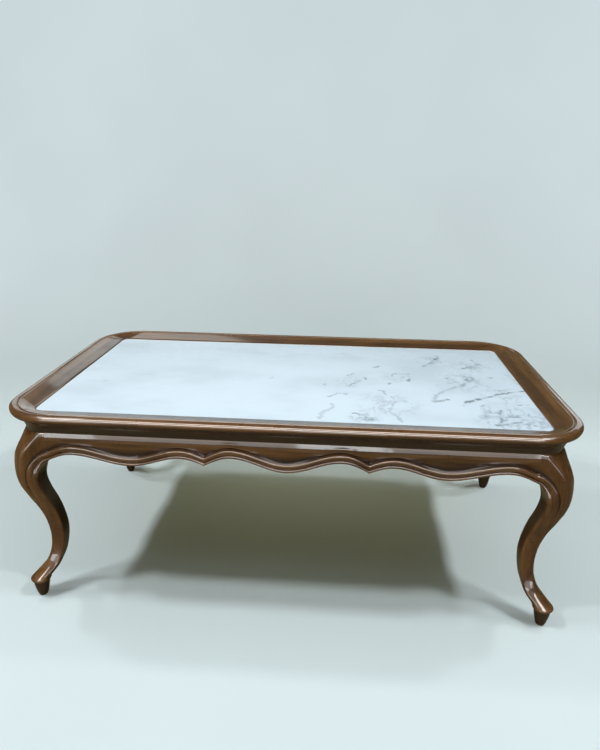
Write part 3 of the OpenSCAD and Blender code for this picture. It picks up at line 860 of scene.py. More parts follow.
@dataclass(frozen=True)
class StoneSlab:
    """The marble slab, laid loose in the rebate."""

    sizes: TableSizes
    arris_r: float = 1.0
    corner_steps: int = 12

    def loop(self, inset: float, z: float) -> np.ndarray:
        """A rounded rectangle at one height, set in from the slab's edge."""
        s = self.sizes
        r = s.opening_r - s.slab_gap - inset
        quarter = np.radians(np.arange(4)[:, None] * 90 + np.linspace(0, 90, self.corner_steps + 1))
        sign_x = np.array([1, -1, -1, 1])[:, None]
        sign_y = np.array([1, 1, -1, -1])[:, None]
        x = sign_x * (s.table_l / 2 - s.opening_in - s.slab_gap - inset - r) + r * np.cos(quarter)
        y = sign_y * (s.table_w / 2 - s.opening_in - s.slab_gap - inset - r) + r * np.sin(quarter)
        return np.stack([x.ravel(), y.ravel(), np.full(x.size, z)], axis=-1)

    def build(self, material: bpy.types.Material) -> None:
        """Make the slab: loops up its edge and over a rounded arris, closed by flat faces."""
        s = self.sizes
        top = s.table_h - s.slab_drop
        turn = np.radians(np.linspace(0, 90, 6))
        steps = [(0.0, top - s.slab_t)]
        steps += [(self.arris_r * (1 - math.cos(a)), top - self.arris_r * (1 - math.sin(a))) for a in turn]
        grid = np.stack([self.loop(inset, z) for inset, z in steps])
        skin = Skin(grid, grid, np.zeros(grid.shape[:2]))
        stand_for(skin.make("veined_slab", material, sharp=40.0), "marble_slab", "slab")


@dataclass(frozen=True)
class ApronProfile:
    """The apron's moulding, which the legs take over: frieze, cove, valley, roll, quirk and bead."""

    sizes: TableSizes
    pattern_h: float = 369.0
    valley_rise: float = 20.0
    valley_depth: float = 6.0
    least_cove_h: float = 2.5

    @property
    def frieze(self) -> np.ndarray:
        """Knots of the frieze: inset and drop below the neck."""
        crown = self.sizes.neck_in - 2.2
        return np.array([[crown + 2.9, 0.0], [crown + 1.6, 4.5], [crown + 0.3, 9.0],
                         [crown + 0.1, 13.5], [crown + 2.2, 19.0]])

    @property
    def roll(self) -> np.ndarray:
        """Knots of the roll, from the valley down to the quirk: inset and rise from the lower edge."""
        face = self.sizes.neck_in
        return np.array([[face + self.valley_depth, self.valley_rise], [face - 0.2, 16.5], [face - 0.9, 12.5],
                         [face + 1.0, 8.5], [face + 3.6, 6.5]])

    @property
    def bead(self) -> np.ndarray:
        """Knots of the bead under the quirk: inset and rise from the lower edge."""
        face = self.sizes.neck_in
        return np.array([[face + 3.6, 6.5], [face + 1.2, 4.8], [face + 0.7, 2.6], [face + 2.4, 0.2]])


@dataclass(frozen=True)
class ScallopedAprons:
    """The four aprons, with their lower edges cut in waves and points."""

    profile: ApronProfile
    trough_z: float = 306.5
    arch_w: float = 46.0
    arch_z: float = 324.0
    shoulder_z: float = 310.0
    top_in: tuple = (54.0, 46.0, 40.0)
    first_board: float = 700.0
    board_gap: float = 140.0
    station: float = 2.4

    def turns(self, side: Side) -> np.ndarray:
        """Turns of the lower edge: distance from the middle, pattern height, and 1 at a sharp point.

        Args:
            side: Which apron.

        Returns:
            The turns from the middle out to the leg.
        """
        s = self.profile.sizes
        half = (s.table_l if side.long else s.table_w) / 2 - s.shoulder_in
        if side.long:
            rows = [[0, self.trough_z, 0], [105, 331, 0], [155, 313.5, 1], [200, 326, 0], [298, 306, 0],
                    [412, self.arch_z, 0]]
        else:
            rows = [[0, 311, 1], [34, 322, 0], [92, self.trough_z, 0], [177, self.arch_z, 0]]
        pattern = np.array(rows, dtype=float)
        pattern[:, 0] *= (half - self.arch_w) / pattern[-1, 0]
        return np.vstack([pattern, [half, self.shoulder_z, 1]])

    @staticmethod
    def edge(x: np.ndarray, turns: np.ndarray) -> np.ndarray:
        """Pattern height of the lower edge: a wave between level turns, a quarter wave next to a point.

        Args:
            x: Distances along the apron from its middle.
            turns: The turns of the edge.

        Returns:
            The heights.
        """
        u = np.abs(x)
        i = np.clip(np.searchsorted(turns[:, 0], u, side="right") - 1, 0, len(turns) - 2)
        a, b = turns[i], turns[i + 1]
        t = np.clip((u - a[:, 0]) / (b[:, 0] - a[:, 0]), 0.0, 1.0)
        wave = mix(a[:, 1], b[:, 1], ease(t))
        to_point = mix(a[:, 1], b[:, 1], 1 - np.cos(np.pi / 2 * t))
        from_point = mix(b[:, 1], a[:, 1], 1 - np.cos(np.pi / 2 * (1 - t)))
        return np.where(a[:, 2] == 1, from_point, np.where(b[:, 2] == 1, to_point, wave))

    def section(self, lower: np.ndarray) -> np.ndarray:
        """The moulding's outline at each station: its upper part is squeezed where the edge rises high.

        Args:
            lower: Pattern height of the lower edge at each station, as one column.

        Returns:
            Stations by points: inset and drop below the neck, closed, without a repeated point.
        """
        p, s = self.profile, self.profile.sizes
        foot = p.pattern_h - lower
        valley = foot - p.valley_rise
        squeeze = np.minimum(1.0, (valley - p.least_cove_h) / (p.frieze[-1, 1] + p.least_cove_h))
        valley_in = s.neck_in + p.valley_depth
        cove_in = mix(p.frieze[-1, 0], valley_in, 0.7)
        inset_knots = [np.full_like(lower, k) for k in (*p.frieze[:, 0], cove_in, valley_in)]
        drop_knots = [k * squeeze for k in p.frieze[:, 1]]
        drop_knots += [mix(drop_knots[-1], valley, 0.6), valley]
        upper = thread(np.stack([np.hstack(inset_knots).T, np.hstack(drop_knots).T], axis=-1), 6)
        rises = joined(thread(p.roll, 7), thread(p.bead, 6))

        def rows(inset: np.ndarray, drop: np.ndarray) -> np.ndarray:
            """Points by stations, from insets and drops that may be the same at every station."""
            count = (max(len(inset), len(drop)), len(lower))
            return np.stack([np.broadcast_to(inset, count), np.broadcast_to(drop, count)], axis=-1)

        front = joined(upper, rows(rises[:, :1], foot.T - rises[:, 1:]))
        under = rows(np.linspace(rises[-1, 0], s.apron_back_in, 6)[1:, None], foot.T)
        back = rows(np.array([[s.apron_back_in]]), mix(foot.T, 0.0, np.array([[0.25], [0.5], [0.75], [1.0]])))
        top = rows(np.array(self.top_in)[:, None], np.array([[0.0]]))
        return np.swapaxes(np.concatenate([front, under, back, top]), 0, 1)

    def apron(self, side: Side, material: bpy.types.Material) -> bpy.types.Object:
        """One apron: the moulding's section at each station along it, following the lower edge.

        Args:
            side: Which apron.
            material: Its finish.

        Returns:
            The apron.
        """
        s = self.profile.sizes
        width = s.table_w if side.long else s.table_l
        turns = self.turns(side)
        spans = [np.linspace(a, b, max(3, int((b - a) / self.station)) + 1)[1:]
                 for a, b in zip(turns[:-1, 0], turns[1:, 0])]
        right = np.concatenate([[0.0], *spans])
        x = np.concatenate([-right[:0:-1], right])
        section = self.section(self.edge(x, turns)[:, None])
        inset, drop = section[..., 0], section[..., 1]
        along = np.broadcast_to(x[:, None], inset.shape)
        board = self.first_board + self.board_gap * list(Side).index(side)
        grain = np.stack([along, inset + board, s.base_h - drop], axis=-1)
        grid = side.place(np.stack([along, inset - width / 2, s.base_h - drop], axis=-1))
        # The finish darkens its hollows as glaze and painted shade.
        skin = Skin(grid, grain, hollowness(grid, reach=16))
        return skin.make(f"scalloped_apron_{side.name.lower()}", material, sharp=36.0)

    def build(self, material: bpy.types.Material) -> None:
        """Make all four aprons in place of the solids."""
        for side in Side:
            stand_for(self.apron(side, material), f"apron_{side.name.lower()}", "frame")


@dataclass(frozen=True)
class CabrioleLegs:
    """The four legs, with canted outer corners and the apron's moulding down the inner edge.

    A line is rows of (pattern height, inset), and fan_rows pairs heights on the inner arris and on the ridge.
    """

    profile: ApronProfile
    outer_line: tuple = (
        (46, 23), (58, 35), (72, 46.5), (95, 55.7), (125, 58.6), (162, 55.6), (196, 47.6),
        (229, 36), (262, 25.5), (290, 21.5), (321, 22.8), (335, 25.6), (351, 30.5), (369, 35),
    )
    inner_line: tuple = (
        (46, 60), (60, 71.5), (76, 78.3), (105, 85), (140, 87.9), (175, 84.8), (207, 79),
        (240, 70.6), (268, 66.7), (290, 70), (298, 73.6), (304, 78), (307.4, 82), (310, 87),
    )
    cant_line: tuple = (
        (46, 12), (95, 7), (196, 6), (251, 7.5), (290, 11), (321, 13), (335, 17), (351, 25), (369, 37),
    )
    cant_round: tuple = ((46, 1), (196, 1), (229, 0.8), (262, 0.6), (290, 0.4), (321, 0.2), (369, 0.35))
    fan_rows: tuple = (
        (260, 260), (276, 280), (286, 294), (294, 309), (299.5, 323), (303.8, 337), (307, 351),
        (309, 366), (309.7, 369),
    )
    knee_h: float = 290.0
    fade_low: float = 200.0
    face_turn_low: float = 270.0
    face_turn_h: float = 40.0
    moulding_share: float = 0.85
    knee_steps: tuple = (0.3, 4, 8, 10.5, 12.5, 16, 19.5, 22.5)
    knee_relief: tuple = (1.6, 0.2, 0.5, 1.9, 0.5, -0.3, 0.3, 2.6)
    seam_scale: float = 0.92
    frieze_parts: tuple = (0, 0.205, 0.513, 0.667, 0.795, 0.923, 1)
    frieze_knee: tuple = (2.6, 0.5, 0, 0, 0, 0, 0)
    frieze_seam: tuple = (6, 4.2, 0, -2.0, -2.2, -0.9, 0)
    shadow_d: float = 1.5
    shadow_h: float = 3.0
    inner_ease: float = 3.0
    knee_swell: float = 1.6
    pad_in: float = 38.5
    blend_top: float = 92.0
    peg: tuple = ((2.5, 9), (6, 10.5), (20, 13.9), (36, 16.5))
    # Painted shade on the inner faces, and a darker peg.
    inner_painted_shade: float = 0.28
    inner_columns: int = 5
    peg_darkening: float = 0.8
    first_board: float = 2000.0
    board_gap: float = 130.0
    row_step: float = 2.4
    corner_steps: int = 16

    def line(self, name: str, h: np.ndarray) -> np.ndarray:
        """One of the leg's named lines, read at pattern heights."""
        return smooth_line(h, np.array(getattr(self, name), dtype=float))

    def shadow(self, h: np.ndarray) -> np.ndarray:
        """Depth of the thin groove right under the neck."""
        return self.shadow_d * np.clip((h - self.profile.pattern_h + self.shadow_h) / self.shadow_h, 0.0, 1.0)

    def ridge_in(self, h: np.ndarray) -> np.ndarray:
        """Inset along the face of the canted corner's edge."""
        return self.line("outer_line", h) + self.line("cant_line", h) + self.shadow(h)

    def face_plane(self, x: np.ndarray, h: np.ndarray) -> np.ndarray:
        """Depth of the bare face: the outer line, turned towards the apron's plane near the seam.

        Args:
            x: Insets along the face.
            h: Pattern heights.

        Returns:
            The depths.
        """
        s = self.profile.sizes
        ridge = self.ridge_in(h)
        turn = ease((x - ridge) / (s.shoulder_in - ridge)) * ease((h - self.face_turn_low) / self.face_turn_h)
        return mix(self.line("outer_line", h), s.neck_in, turn) + self.shadow(h)

    def face(self, a_h: np.ndarray, b_x: np.ndarray, b_h: np.ndarray) -> np.ndarray:
        """One face from the inner arris to the ridge, row by row.

        Each row runs straight from the arris (a) to the ridge (b). Its relief is the knee's moulding turned
        little by little into the apron's, as the arris climbs from the knee to the seam.

        Args:
            a_h: Pattern height of each row's end on the inner arris.
            b_x: Inset of each row's end on the ridge.
            b_h: Pattern height of each row's end on the ridge.

        Returns:
            Points, rows by columns: inset along the face, depth, pattern height.
        """
        p = self.profile
        a_h, b_x, b_h = (v[:, None] for v in (a_h, b_x, b_h))
        a_x = self.line("inner_line", a_h)
        run = np.hypot(b_x - a_x, b_h - a_h)
        s = np.clip((a_h - self.knee_h) / (self.inner_line[-1][0] - self.knee_h), 0.0, 1.0)
        fade = ease((a_h - self.fade_low) / (self.knee_h - self.fade_low))
        fit = np.minimum(1.0, self.moulding_share * run / self.knee_steps[-1])
        rises = joined(p.roll, p.bead)[::-1]
        knots = np.column_stack([self.knee_steps, self.knee_relief, rises[:, 1] * self.seam_scale,
                                 rises[:, 0] - p.sizes.neck_in])
        curve = joined(thread(knots[:4], 6), thread(knots[3:], 7))
        knee_d, knee_r, seam_d, seam_r = curve.T
        kept = np.clip(1.0 - np.concatenate([np.linspace(0, 3, 19), np.linspace(3, 7, 29)[1:]]), 0.0, 1.0)
        part = mix(knee_d, seam_d, s) * fit / run
        relief = mix(knee_r * mix(fade, 1.0, kept), seam_r, s)
        valley = part[:, -1:]
        knots = np.column_stack([self.frieze_parts, self.frieze_knee, self.frieze_seam])
        frieze, knee_r, seam_r = thread(knots, 6)[1:-1].T
        part = np.hstack([part, mix(valley, 1.0, frieze)])
        swell = self.knee_swell * np.sin(np.pi * frieze) ** 2 * (1 - s) * fade
        relief = np.hstack([relief, mix(knee_r * fade, seam_r, s) - swell])
        x, h = mix(a_x, b_x, part), mix(a_h, b_h, part)
        return np.stack([x, self.face_plane(x, h) + relief, h], axis=-1)

    def corner(self, h: np.ndarray) -> np.ndarray:
        """The outer corner, from the side face round to the front: between a flat cant and a quarter circle.

        Args:
            h: Pattern heights of the rows.

        Returns:
            Points, rows by columns.
        """
        h = h[:, None]
        o = self.line("outer_line", h) + self.shadow(h)
        c = self.line("cant_line", h)
        t = np.linspace(0.0, 1.0, self.corner_steps + 1)[None, :]
        roundness = self.line("cant_round", h)
        x = mix(o + c * t, o + c - c * np.cos(np.pi / 2 * t), roundness)
        y = mix(o + c * (1 - t), o + c - c * np.sin(np.pi / 2 * t), roundness)
        return np.stack([x, y, np.broadcast_to(h, x.shape)], axis=-1)

    def ring(self, corner: np.ndarray, face: np.ndarray, inner: np.ndarray, h: np.ndarray) -> np.ndarray:
        """Whole loops: corner, front face, the two inner faces with an eased edge, and the side face."""
        t = np.linspace(0.0, 1.0, 5)[None, 1:-1]
        depth = mix(face[:, :1, 1], inner[:, None] - self.inner_ease, t)
        side = np.broadcast_to(inner[:, None], depth.shape)
        level = np.broadcast_to(h[:, None], depth.shape)
        first = np.stack([side, depth, level], axis=-1)
        turn = np.radians(np.linspace(0, 90, 5))
        back = inner[:, None] - self.inner_ease
        edge = np.stack([back + self.inner_ease * np.cos(turn), back + self.inner_ease * np.sin(turn),
                         np.broadcast_to(h[:, None], (len(h), 5))], axis=-1)
        return np.concatenate([corner, face[:, ::-1], first, edge, first[:, ::-1][..., [1, 0, 2]],
                               face[..., [1, 0, 2]]], axis=1)

    def leg_rows(self, a_h: np.ndarray, b_h: np.ndarray) -> np.ndarray:
        """Loops of the leg for rows that run from a_h on the arris to b_h on the ridge."""
        return self.ring(self.corner(b_h), self.face(a_h, self.ridge_in(b_h), b_h),
                         self.line("inner_line", a_h), a_h)

    def seam_rows(self) -> np.ndarray:
        """Loops from the last fan row across to the seam with the apron."""
        s = self.profile.sizes
        way = np.linspace(0.0, 1.0, 6)[1:]
        a_low, b_low = self.fan_rows[-1]
        seam_h = self.inner_line[-1][0]
        a_h = mix(a_low, seam_h, way)
        b_h = np.full_like(way, b_low)
        b_x = mix(self.ridge_in(b_h), s.shoulder_in, way)
        seam_top = s.neck_in + self.shadow_d
        t = np.linspace(0.0, 1.0, self.corner_steps + 1)
        straight = np.stack([mix(seam_top, s.shoulder_in, t), mix(s.shoulder_in, seam_top, t),
                             np.full_like(t, b_low)], axis=-1)
        corner = mix(self.corner(b_h), straight[None], way[:, None, None])
        return self.ring(corner, self.face(a_h, b_x, b_h), self.line("inner_line", a_h), a_h)

    def foot_rows(self, square: np.ndarray) -> np.ndarray:
        """Loops of the peg and the pad: the leg's lowest loop drawn out to circles.

        Args:
            square: The leg's lowest loop.

        Returns:
            Loops from the floor up to just under the leg.
        """
        middle = (self.outer_line[0][1] + self.inner_line[0][1]) / 2
        peg = thread(np.array([(h, r, self.pad_in) for h, r in self.peg], dtype=float), 6)
        pad = thread(np.array([
            (36, 16.5, self.pad_in), (37.6, 18.9, self.pad_in), (39.6, 19.9, self.pad_in),
            (42, 19.9, self.pad_in + 0.4), (46, middle - self.outer_line[0][1], middle),
        ]), 4)
        out = square[:, :2] - middle
        unit = out / np.linalg.norm(out, axis=1, keepdims=True)
        h, r, centre = joined(peg, pad)[:-1].T
        plan = centre[:, None, None] + unit[None] * r[:, None, None]
        return np.concatenate([plan, np.broadcast_to(h[:, None, None], (*plan.shape[:2], 1))], axis=-1)

    def loops(self) -> np.ndarray:
        """All loops of one leg, from the floor to the seam, in insets and pattern heights."""
        low, high = self.outer_line[0][0], self.fan_rows[0][0]
        level = np.linspace(low, high, int((high - low) / self.row_step) + 1)
        shaft = self.leg_rows(level, level)
        middle = ((self.line("outer_line", level) + self.line("inner_line", level)) / 2)[:, None, None]
        out = shaft[..., :2] - middle
        radius = middle - self.line("outer_line", level)[:, None, None]
        circle = middle + out * radius / np.linalg.norm(out, axis=-1, keepdims=True)
        share = (1 - ease((level - low) / (self.blend_top - low)))[:, None, None]
        shaft[..., :2] = mix(shaft[..., :2], circle, share)
        fan = thread(np.array(self.fan_rows, dtype=float), 6)[1:]
        knee = self.leg_rows(fan[:, 0], fan[:, 1])
        return np.concatenate([self.foot_rows(self.leg_rows(level[:1], level[:1])[0]), shaft, knee,
                               self.seam_rows()])

    def leg(self, corner: Corner, material: bpy.types.Material) -> bpy.types.Object:
        """One leg, from its loops, mirrored to its corner and closed under the top.

        Args:
            corner: Which leg.
            material: Its finish.

        Returns:
            The leg.
        """
        s = self.profile.sizes
        sx, sy = corner.value
        loops = self.loops()

        def to_table(points: np.ndarray) -> np.ndarray:
            """Insets to the table's own axes."""
            return np.stack([sx * (s.table_l / 2 - points[..., 0]), sy * (s.table_w / 2 - points[..., 1]),
                             points[..., 2]], axis=-1)

        grid = to_table(loops)
        board = self.first_board + self.board_gap * list(Corner).index(corner)
        grain = np.stack([loops[..., 2], loops[..., 0] + board, loops[..., 1]], axis=-1)
        cols = grid.shape[1]
        ridge = self.corner_steps
        inner = (cols + ridge) // 2
        peg_top = self.peg[-1][0]
        # Painted shade on the columns of the inner faces, and the peg made darker.
        behind = np.abs(np.arange(cols) - inner) <= self.inner_columns
        darkened = np.where(behind[None, :], self.inner_painted_shade, 0.0)
        darkened = darkened + self.peg_darkening * (loops[..., 2] < peg_top)
        skin = Skin(grid, grain, np.maximum(hollowness(grid, reach=16), darkened))
        back = s.shoulder_in - self.inner_ease
        skin.extra = to_table(np.array([[s.shoulder_in, back, s.base_h], [back, s.shoulder_in, s.base_h]]))
        skin.end_faces = [
            [*range(ridge, inner - 1), cols],
            [*range(inner - 2, inner + 3), cols + 1, cols],
            [*range(inner + 2, cols), 0, cols + 1],
            [*range(ridge + 1), cols, cols + 1],
        ]
        return skin.make(f"cabriole_leg_{corner.name.lower()}", material, sharp=38.0)

    def build(self, material: bpy.types.Material) -> None:
        """Make all four legs in place of the solids."""
        for corner in Corner:
            stand_for(self.leg(corner, material), f"leg_{corner.name.lower()}", "frame")


@dataclass(frozen=True)
class HiddenWork:
    """The solids that stay as they are, under the top: blocks, battens, splines, screws and glides."""

    nodes: dict

    def dress(self) -> None:
        """Give each solid its own finish."""
        along_x = BareWood("bare_wood_along_x", (6.0, 90.0, 90.0)).make()
        along_y = BareWood("bare_wood_along_y", (90.0, 6.0, 90.0)).make()
        zinc = DullMetal("zinc_plate", (0.60, 0.58, 0.52)).make()
        nickel = DullMetal("dull_nickel", (0.30, 0.30, 0.31), (0.35, 0.60)).make()
        finishes = {"corner_block": along_x, "mitre_splines": along_x, "cross_batten": along_y,
                    "foot_glides": nickel, "screws": zinc}
        for name, node in self.nodes.items():
            material = next((m for key, m in finishes.items() if key in name), None)
            if material is None:
                continue
            node.data.materials.clear()
            node.data.materials.append(material)
            LOG.info("%s keeps its solid, in %s", name, material.name)


# Floor, lights and camera.


class Tint(Enum):
    """The colours of the lamps."""

    COOL = (0.90, 0.97, 1.0)
    WARM = (1.0, 0.95, 0.90)
    CREAM = (1.0, 0.94, 0.84)
    STRAW = (1.0, 1.0, 0.7)


class Lit(Enum):
    """What a lamp lights, by the starts of the names: ALL is everything and TABLE all but the floor."""

    ALL = ()
    TABLE = ("",)
    FLOOR = ("floor_sweep",)
    RIM = ("moulded_rail",)
    WOOD = ("moulded_rail", "scalloped_apron", "cabriole_leg")

    def takes(self, name: str) -> bool:
        """True if the piece of this name is lit."""
        return name.startswith(self.value) and (self is Lit.FLOOR or name != "floor_sweep")


@dataclass(frozen=True)
class Lamp:
    """One rectangular lamp that looks at a point and isn't itself in the picture.

    A shine is seen only as a light on gloss. Any other lamp gives only soft light.
    """

    name: str
    place: tuple
    size: tuple
    power: float
    tint: Tint
    target: tuple = (0.0, 0.0, 0.38)
    lit: Lit = Lit.ALL
    shine: bool = False

    def turned(self) -> Matrix:
        """Its place and its axes: the third looks back from the target, the second points up where it can."""
        back = np.array(self.place) - np.array(self.target)
        back = back / np.linalg.norm(back)
        right = np.cross((0.0, 1.0, 0.0) if abs(back[2]) > 0.9 else (0.0, 0.0, 1.0), back)
        right = right / np.linalg.norm(right)
        matrix = np.eye(4)
        matrix[:3] = np.column_stack([right, np.cross(back, right), back, self.place])
        return Matrix(matrix.tolist())

    def hang(self, groups: dict) -> None:
        """Make the lamp and tie it to the pieces it lights.

        Args:
            groups: The collection of pieces for each choice but all.
        """
        light = bpy.data.lights.new(self.name, "AREA")
        light.shape = "RECTANGLE"
        light.size, light.size_y = self.size
        light.energy = self.power
        light.color = self.tint.value
        lamp = bpy.data.objects.new(self.name, light)
        lamp.matrix_world = self.turned()
        lamp.visible_camera = False
        lamp.visible_diffuse = not self.shine
        lamp.visible_glossy = self.shine
        bpy.context.scene.collection.objects.link(lamp)
        if self.lit in groups:
            lamp.light_linking.receiver_collection = groups[self.lit]


@dataclass(frozen=True)
class Studio:
    """A pale floor that sweeps up into a wall, the lamps around it, and the camera, in metres."""

    floor_colour: tuple = (0.84, 0.92, 0.93)
    floor_roughness: float = 0.7
    bounce_colour: tuple = (0.33, 0.29, 0.16)
    bounce_shine: float = 0.60
    room_colour: tuple = (0.070, 0.058, 0.030)
    ceiling_colour: tuple = (0.74, 0.82, 0.86)
    ceiling_shine: float = 0.10
    ceiling_rise: tuple = (0.72, 0.92)
    far_colour: tuple = (0.61, 0.70, 0.725)
    far_range: tuple = (1.3, 2.9)
    half_width: float = 14.0
    front: float = -14.0
    bend_start: float = 1.3
    bend_r: float = 1.2
    wall_top: float = 9.0
    tube_x: float = 1.65
    tube_y: tuple = (-0.94, -0.51, 0.45)
    tube_z: float = 2.70
    tube_size: tuple = (0.20, 0.22)
    tube_power: tuple = (18.0, 17.0, 11.0)
    tube_aim: float = 0.3
    strip_y: float = -0.2
    strip_size: tuple = (0.50, 1.70)
    strip_power: float = 16.0
    pane_y: float = -8.0
    pane_z: float = 1.7
    pane_h: float = 2.4
    camera_place: tuple = (0.0952, -1.2855, 0.8527)
    yaw: float = -0.0700
    pitch: float = 0.3326
    roll: float = 0.0131
    focal_px: float = 609.3
    frame_px: float = 750.0
    sensor: float = 36.0

    def sweep(self) -> None:
        """Make the floor: flat, then a quarter circle, then upright."""
        turn = np.linspace(0.0, np.pi / 2, 17)
        end = self.bend_start + self.bend_r
        y = np.concatenate([[self.front], self.bend_start + self.bend_r * np.sin(turn), [end]])
        z = np.concatenate([[0.0], self.bend_r * (1 - np.cos(turn)), [self.wall_top]])
        x = np.array([[-self.half_width, self.half_width]])
        points = np.stack(np.broadcast_arrays(x, y[:, None], z[:, None]), axis=-1).reshape(-1, 3)
        rows = np.arange(len(y) - 1)[:, None] * 2
        faces = np.hstack([rows, rows + 1, rows + 3, rows + 2])
        mesh = bpy.data.meshes.new("floor_sweep")
        mesh.from_pydata(points.tolist(), [], faces.tolist())
        mesh.polygons.foreach_set("use_smooth", np.ones(len(faces), dtype=bool))
        mesh.materials.append(self.pale_floor())
        floor = bpy.data.objects.new("floor_sweep", mesh)
        bpy.context.scene.collection.objects.link(floor)

    def pale_floor(self) -> bpy.types.Material:
        """Build the floor's finish.

        The camera sees its pale colour, which turns into a flat tone away from the table. Light bounces off a
        duller one. From below the camera sees through it.

        Returns:
            The material.
        """
        g = Surface("pale_floor")
        place = g.place()
        rays = g.add("ShaderNodeLightPath").outputs
        by_eye = rays["Is Camera Ray"]
        far = g.step(g.vector("LENGTH", place).outputs["Value"], *self.far_range)
        patches = g.step(g.noise(place, 0.9, 2.0).outputs["Fac"], 0.35, 0.65, 1.0, 0.95)
        near = g.math("MULTIPLY", patches, g.math("SUBTRACT", 1.0, far))
        seen = g.vector("SCALE", self.floor_colour, scale=near).outputs[0]
        dim = g.step(rays["Is Glossy Ray"], 0.0, 1.0, 1.0, self.bounce_shine)
        unseen = g.vector("SCALE", self.bounce_colour, scale=dim).outputs[0]
        g.shade("Base Color", g.blend(by_eye, unseen, seen))
        g.shader.inputs["Emission Color"].default_value = (*self.far_colour, 1.0)
        g.shade("Emission Strength", g.math("MULTIPLY", by_eye, g.math("MULTIPLY", far, patches)))
        from_below = g.add("ShaderNodeNewGeometry").outputs["Backfacing"]
        g.shade("Alpha", g.math("SUBTRACT", 1.0, g.math("MULTIPLY", by_eye, from_below)))
        g.constants(Roughness=self.floor_roughness)
        return g.material

    def tubes(self) -> list[Lamp]:
        """The lamps overhead on each side: three short tubes for soft light, and a strip for the gloss."""
        lamps = []
        for side, sign in (("left", -1.0), ("right", 1.0)):
            x, aim = sign * self.tube_x, sign * self.tube_x * self.tube_aim
            for k, (y, power) in enumerate(zip(self.tube_y, self.tube_power)):
                place = (x, y, self.tube_z)
                lamps.append(Lamp(f"tube_{side}_{k}", place, self.tube_size, power, Tint.COOL, (aim, y, 0.0)))
            place, target = (x, self.strip_y, self.tube_z), (aim, self.strip_y, 0.0)
            lamps.append(Lamp(f"strip_{side}", place, self.strip_size, self.strip_power, Tint.COOL, target,
                              shine=True))
        return lamps

    def fills(self) -> list[Lamp]:
        """Soft light for the floor under the table, and for the table alone from in front and behind."""
        return [
            Lamp("floor_glow", (0.0, 0.28, 0.30), (0.9, 0.12), 0.2, Tint.STRAW, (0.0, 0.28, 0.0), Lit.FLOOR),
            Lamp("fill_front", (-1.5, -4.0, 1.3), (4.5, 1.6), 112.0, Tint.CREAM, lit=Lit.TABLE),
            Lamp("fill_back", (0.0, 2.2, 1.3), (3.5, 0.8), 14.0, Tint.COOL, lit=Lit.TABLE),
        ]

    def panes(self) -> list[Lamp]:
        """A bright front wall for the gloss of the wood, as panes: middle x, width and power of each."""
        panes = {"wide": (-0.8, 11.0, 190.0), "left": (-4.6, 2.0, 80.0), "middle": (0.15, 1.3, 60.0),
                 "right": (3.25, 0.6, 28.0)}
        return [Lamp(f"pane_{name}", (x, self.pane_y, self.pane_z), (width, self.pane_h), power, Tint.COOL,
                     lit=Lit.WOOD, shine=True) for name, (x, width, power) in panes.items()]

    def shines(self) -> list[Lamp]:
        """Lights on the gloss of the wood from above, and on that of the rim from the back wall."""
        rows = (
            ("high_front", (0.0, -2.2, 2.60), (4.0, 0.90), 180.0, Tint.WARM, Lit.WOOD),
            ("over", (0.0, -0.55, 2.75), (3.6, 0.50), 95.0, Tint.WARM, Lit.WOOD),
            ("back", (-0.75, 2.25, 2.05), (1.8, 0.25), 2.6, Tint.WARM, Lit.RIM),
            ("wall_left", (-1.1, 2.3, 1.15), (2.8, 1.1), 10.0, Tint.COOL, Lit.RIM),
            ("wall_right", (1.8, 2.3, 1.15), (1.4, 1.1), 7.0, Tint.COOL, Lit.RIM),
        )
        return [Lamp(f"shine_{name}", place, size, power, tint, lit=lit, shine=True)
                for name, place, size, power, tint, lit in rows]

    def light(self) -> None:
        """Sort the pieces by the lamps that light them, and hang all the lamps."""
        groups = {lit: bpy.data.collections.new(f"lit_{lit.name.lower()}") for lit in Lit if lit.value}
        for piece in bpy.context.scene.objects:
            for lit, members in groups.items():
                if piece.type == "MESH" and lit.takes(piece.name):
                    members.objects.link(piece)
        for lamp in (*self.tubes(), *self.fills(), *self.panes(), *self.shines()):
            lamp.hang(groups)

    def room(self) -> None:
        """Make the surroundings: a pale ceiling over a dim warm room, and one pale tone for the camera."""
        world = bpy.data.worlds.new("pale_room")
        world.use_nodes = True
        g = Graph(world.node_tree)
        upward = g.coordinate(g.add("ShaderNodeTexCoord").outputs["Generated"], "Z")
        rays = g.add("ShaderNodeLightPath").outputs
        dim = g.step(rays["Is Glossy Ray"], 0.0, 1.0, 1.0, self.ceiling_shine)
        ceiling = g.math("MULTIPLY", g.step(upward, *self.ceiling_rise), dim)
        around = g.blend(ceiling, self.room_colour, self.ceiling_colour)
        colour = g.tree.nodes["Background"].inputs["Color"]
        g.feed(colour, g.blend(rays["Is Camera Ray"], around, self.far_colour))
        bpy.context.scene.world = world

    def camera(self) -> None:
        """Place the camera: its right, up and back axes from yaw, pitch and roll."""
        sy, cy = math.sin(self.yaw), math.cos(self.yaw)
        sp, cp = math.sin(self.pitch), math.cos(self.pitch)
        sr, cr = math.sin(self.roll), math.cos(self.roll)
        ahead = np.array([sy * cp, cy * cp, -sp])
        level = np.array([cy, -sy, 0.0])
        above = np.cross(level, ahead)
        right, up = cr * level + sr * above, -sr * level + cr * above
        matrix = np.eye(4)
        matrix[:3, 0], matrix[:3, 1], matrix[:3, 2], matrix[:3, 3] = right, up, -ahead, self.camera_place
        data = bpy.data.cameras.new("photo_view")
        data.sensor_width = self.sensor
        data.lens = self.focal_px * self.sensor / self.frame_px
        data.clip_start = 0.05
        view = bpy.data.objects.new("photo_view", data)
        view.matrix_world = Matrix(matrix.tolist())
        bpy.context.scene.collection.objects.link(view)
        bpy.context.scene.camera = view

    def build(self) -> None:
        """Set up floor, lamps, camera and the plain view transform."""
        self.sweep()
        self.light()
        self.room()
        self.camera()
        bpy.context.scene.view_settings.view_transform = "Standard"


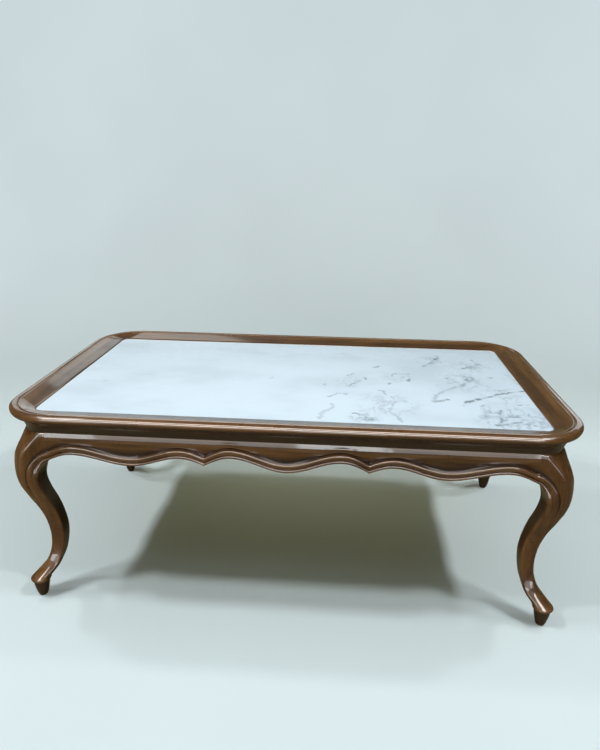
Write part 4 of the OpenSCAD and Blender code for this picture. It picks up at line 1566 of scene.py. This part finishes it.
def main() -> None:
    """Load the frame, build and dress every piece, and set up the studio."""
    logging.basicConfig(level=logging.INFO, format="%(message)s")
    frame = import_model()
    sizes = TableSizes()
    profile = ApronProfile(sizes)
    walnut = LacqueredWalnut().make()
    MouldedRim(sizes).build(walnut)
    ScallopedAprons(profile).build(walnut)
    CabrioleLegs(profile).build(walnut)
    StoneSlab(sizes).build(VeinedMarble().make())
    HiddenWork(frame["nodes"]).dress()
    Studio().build()


if __name__ == "__main__":
    main()
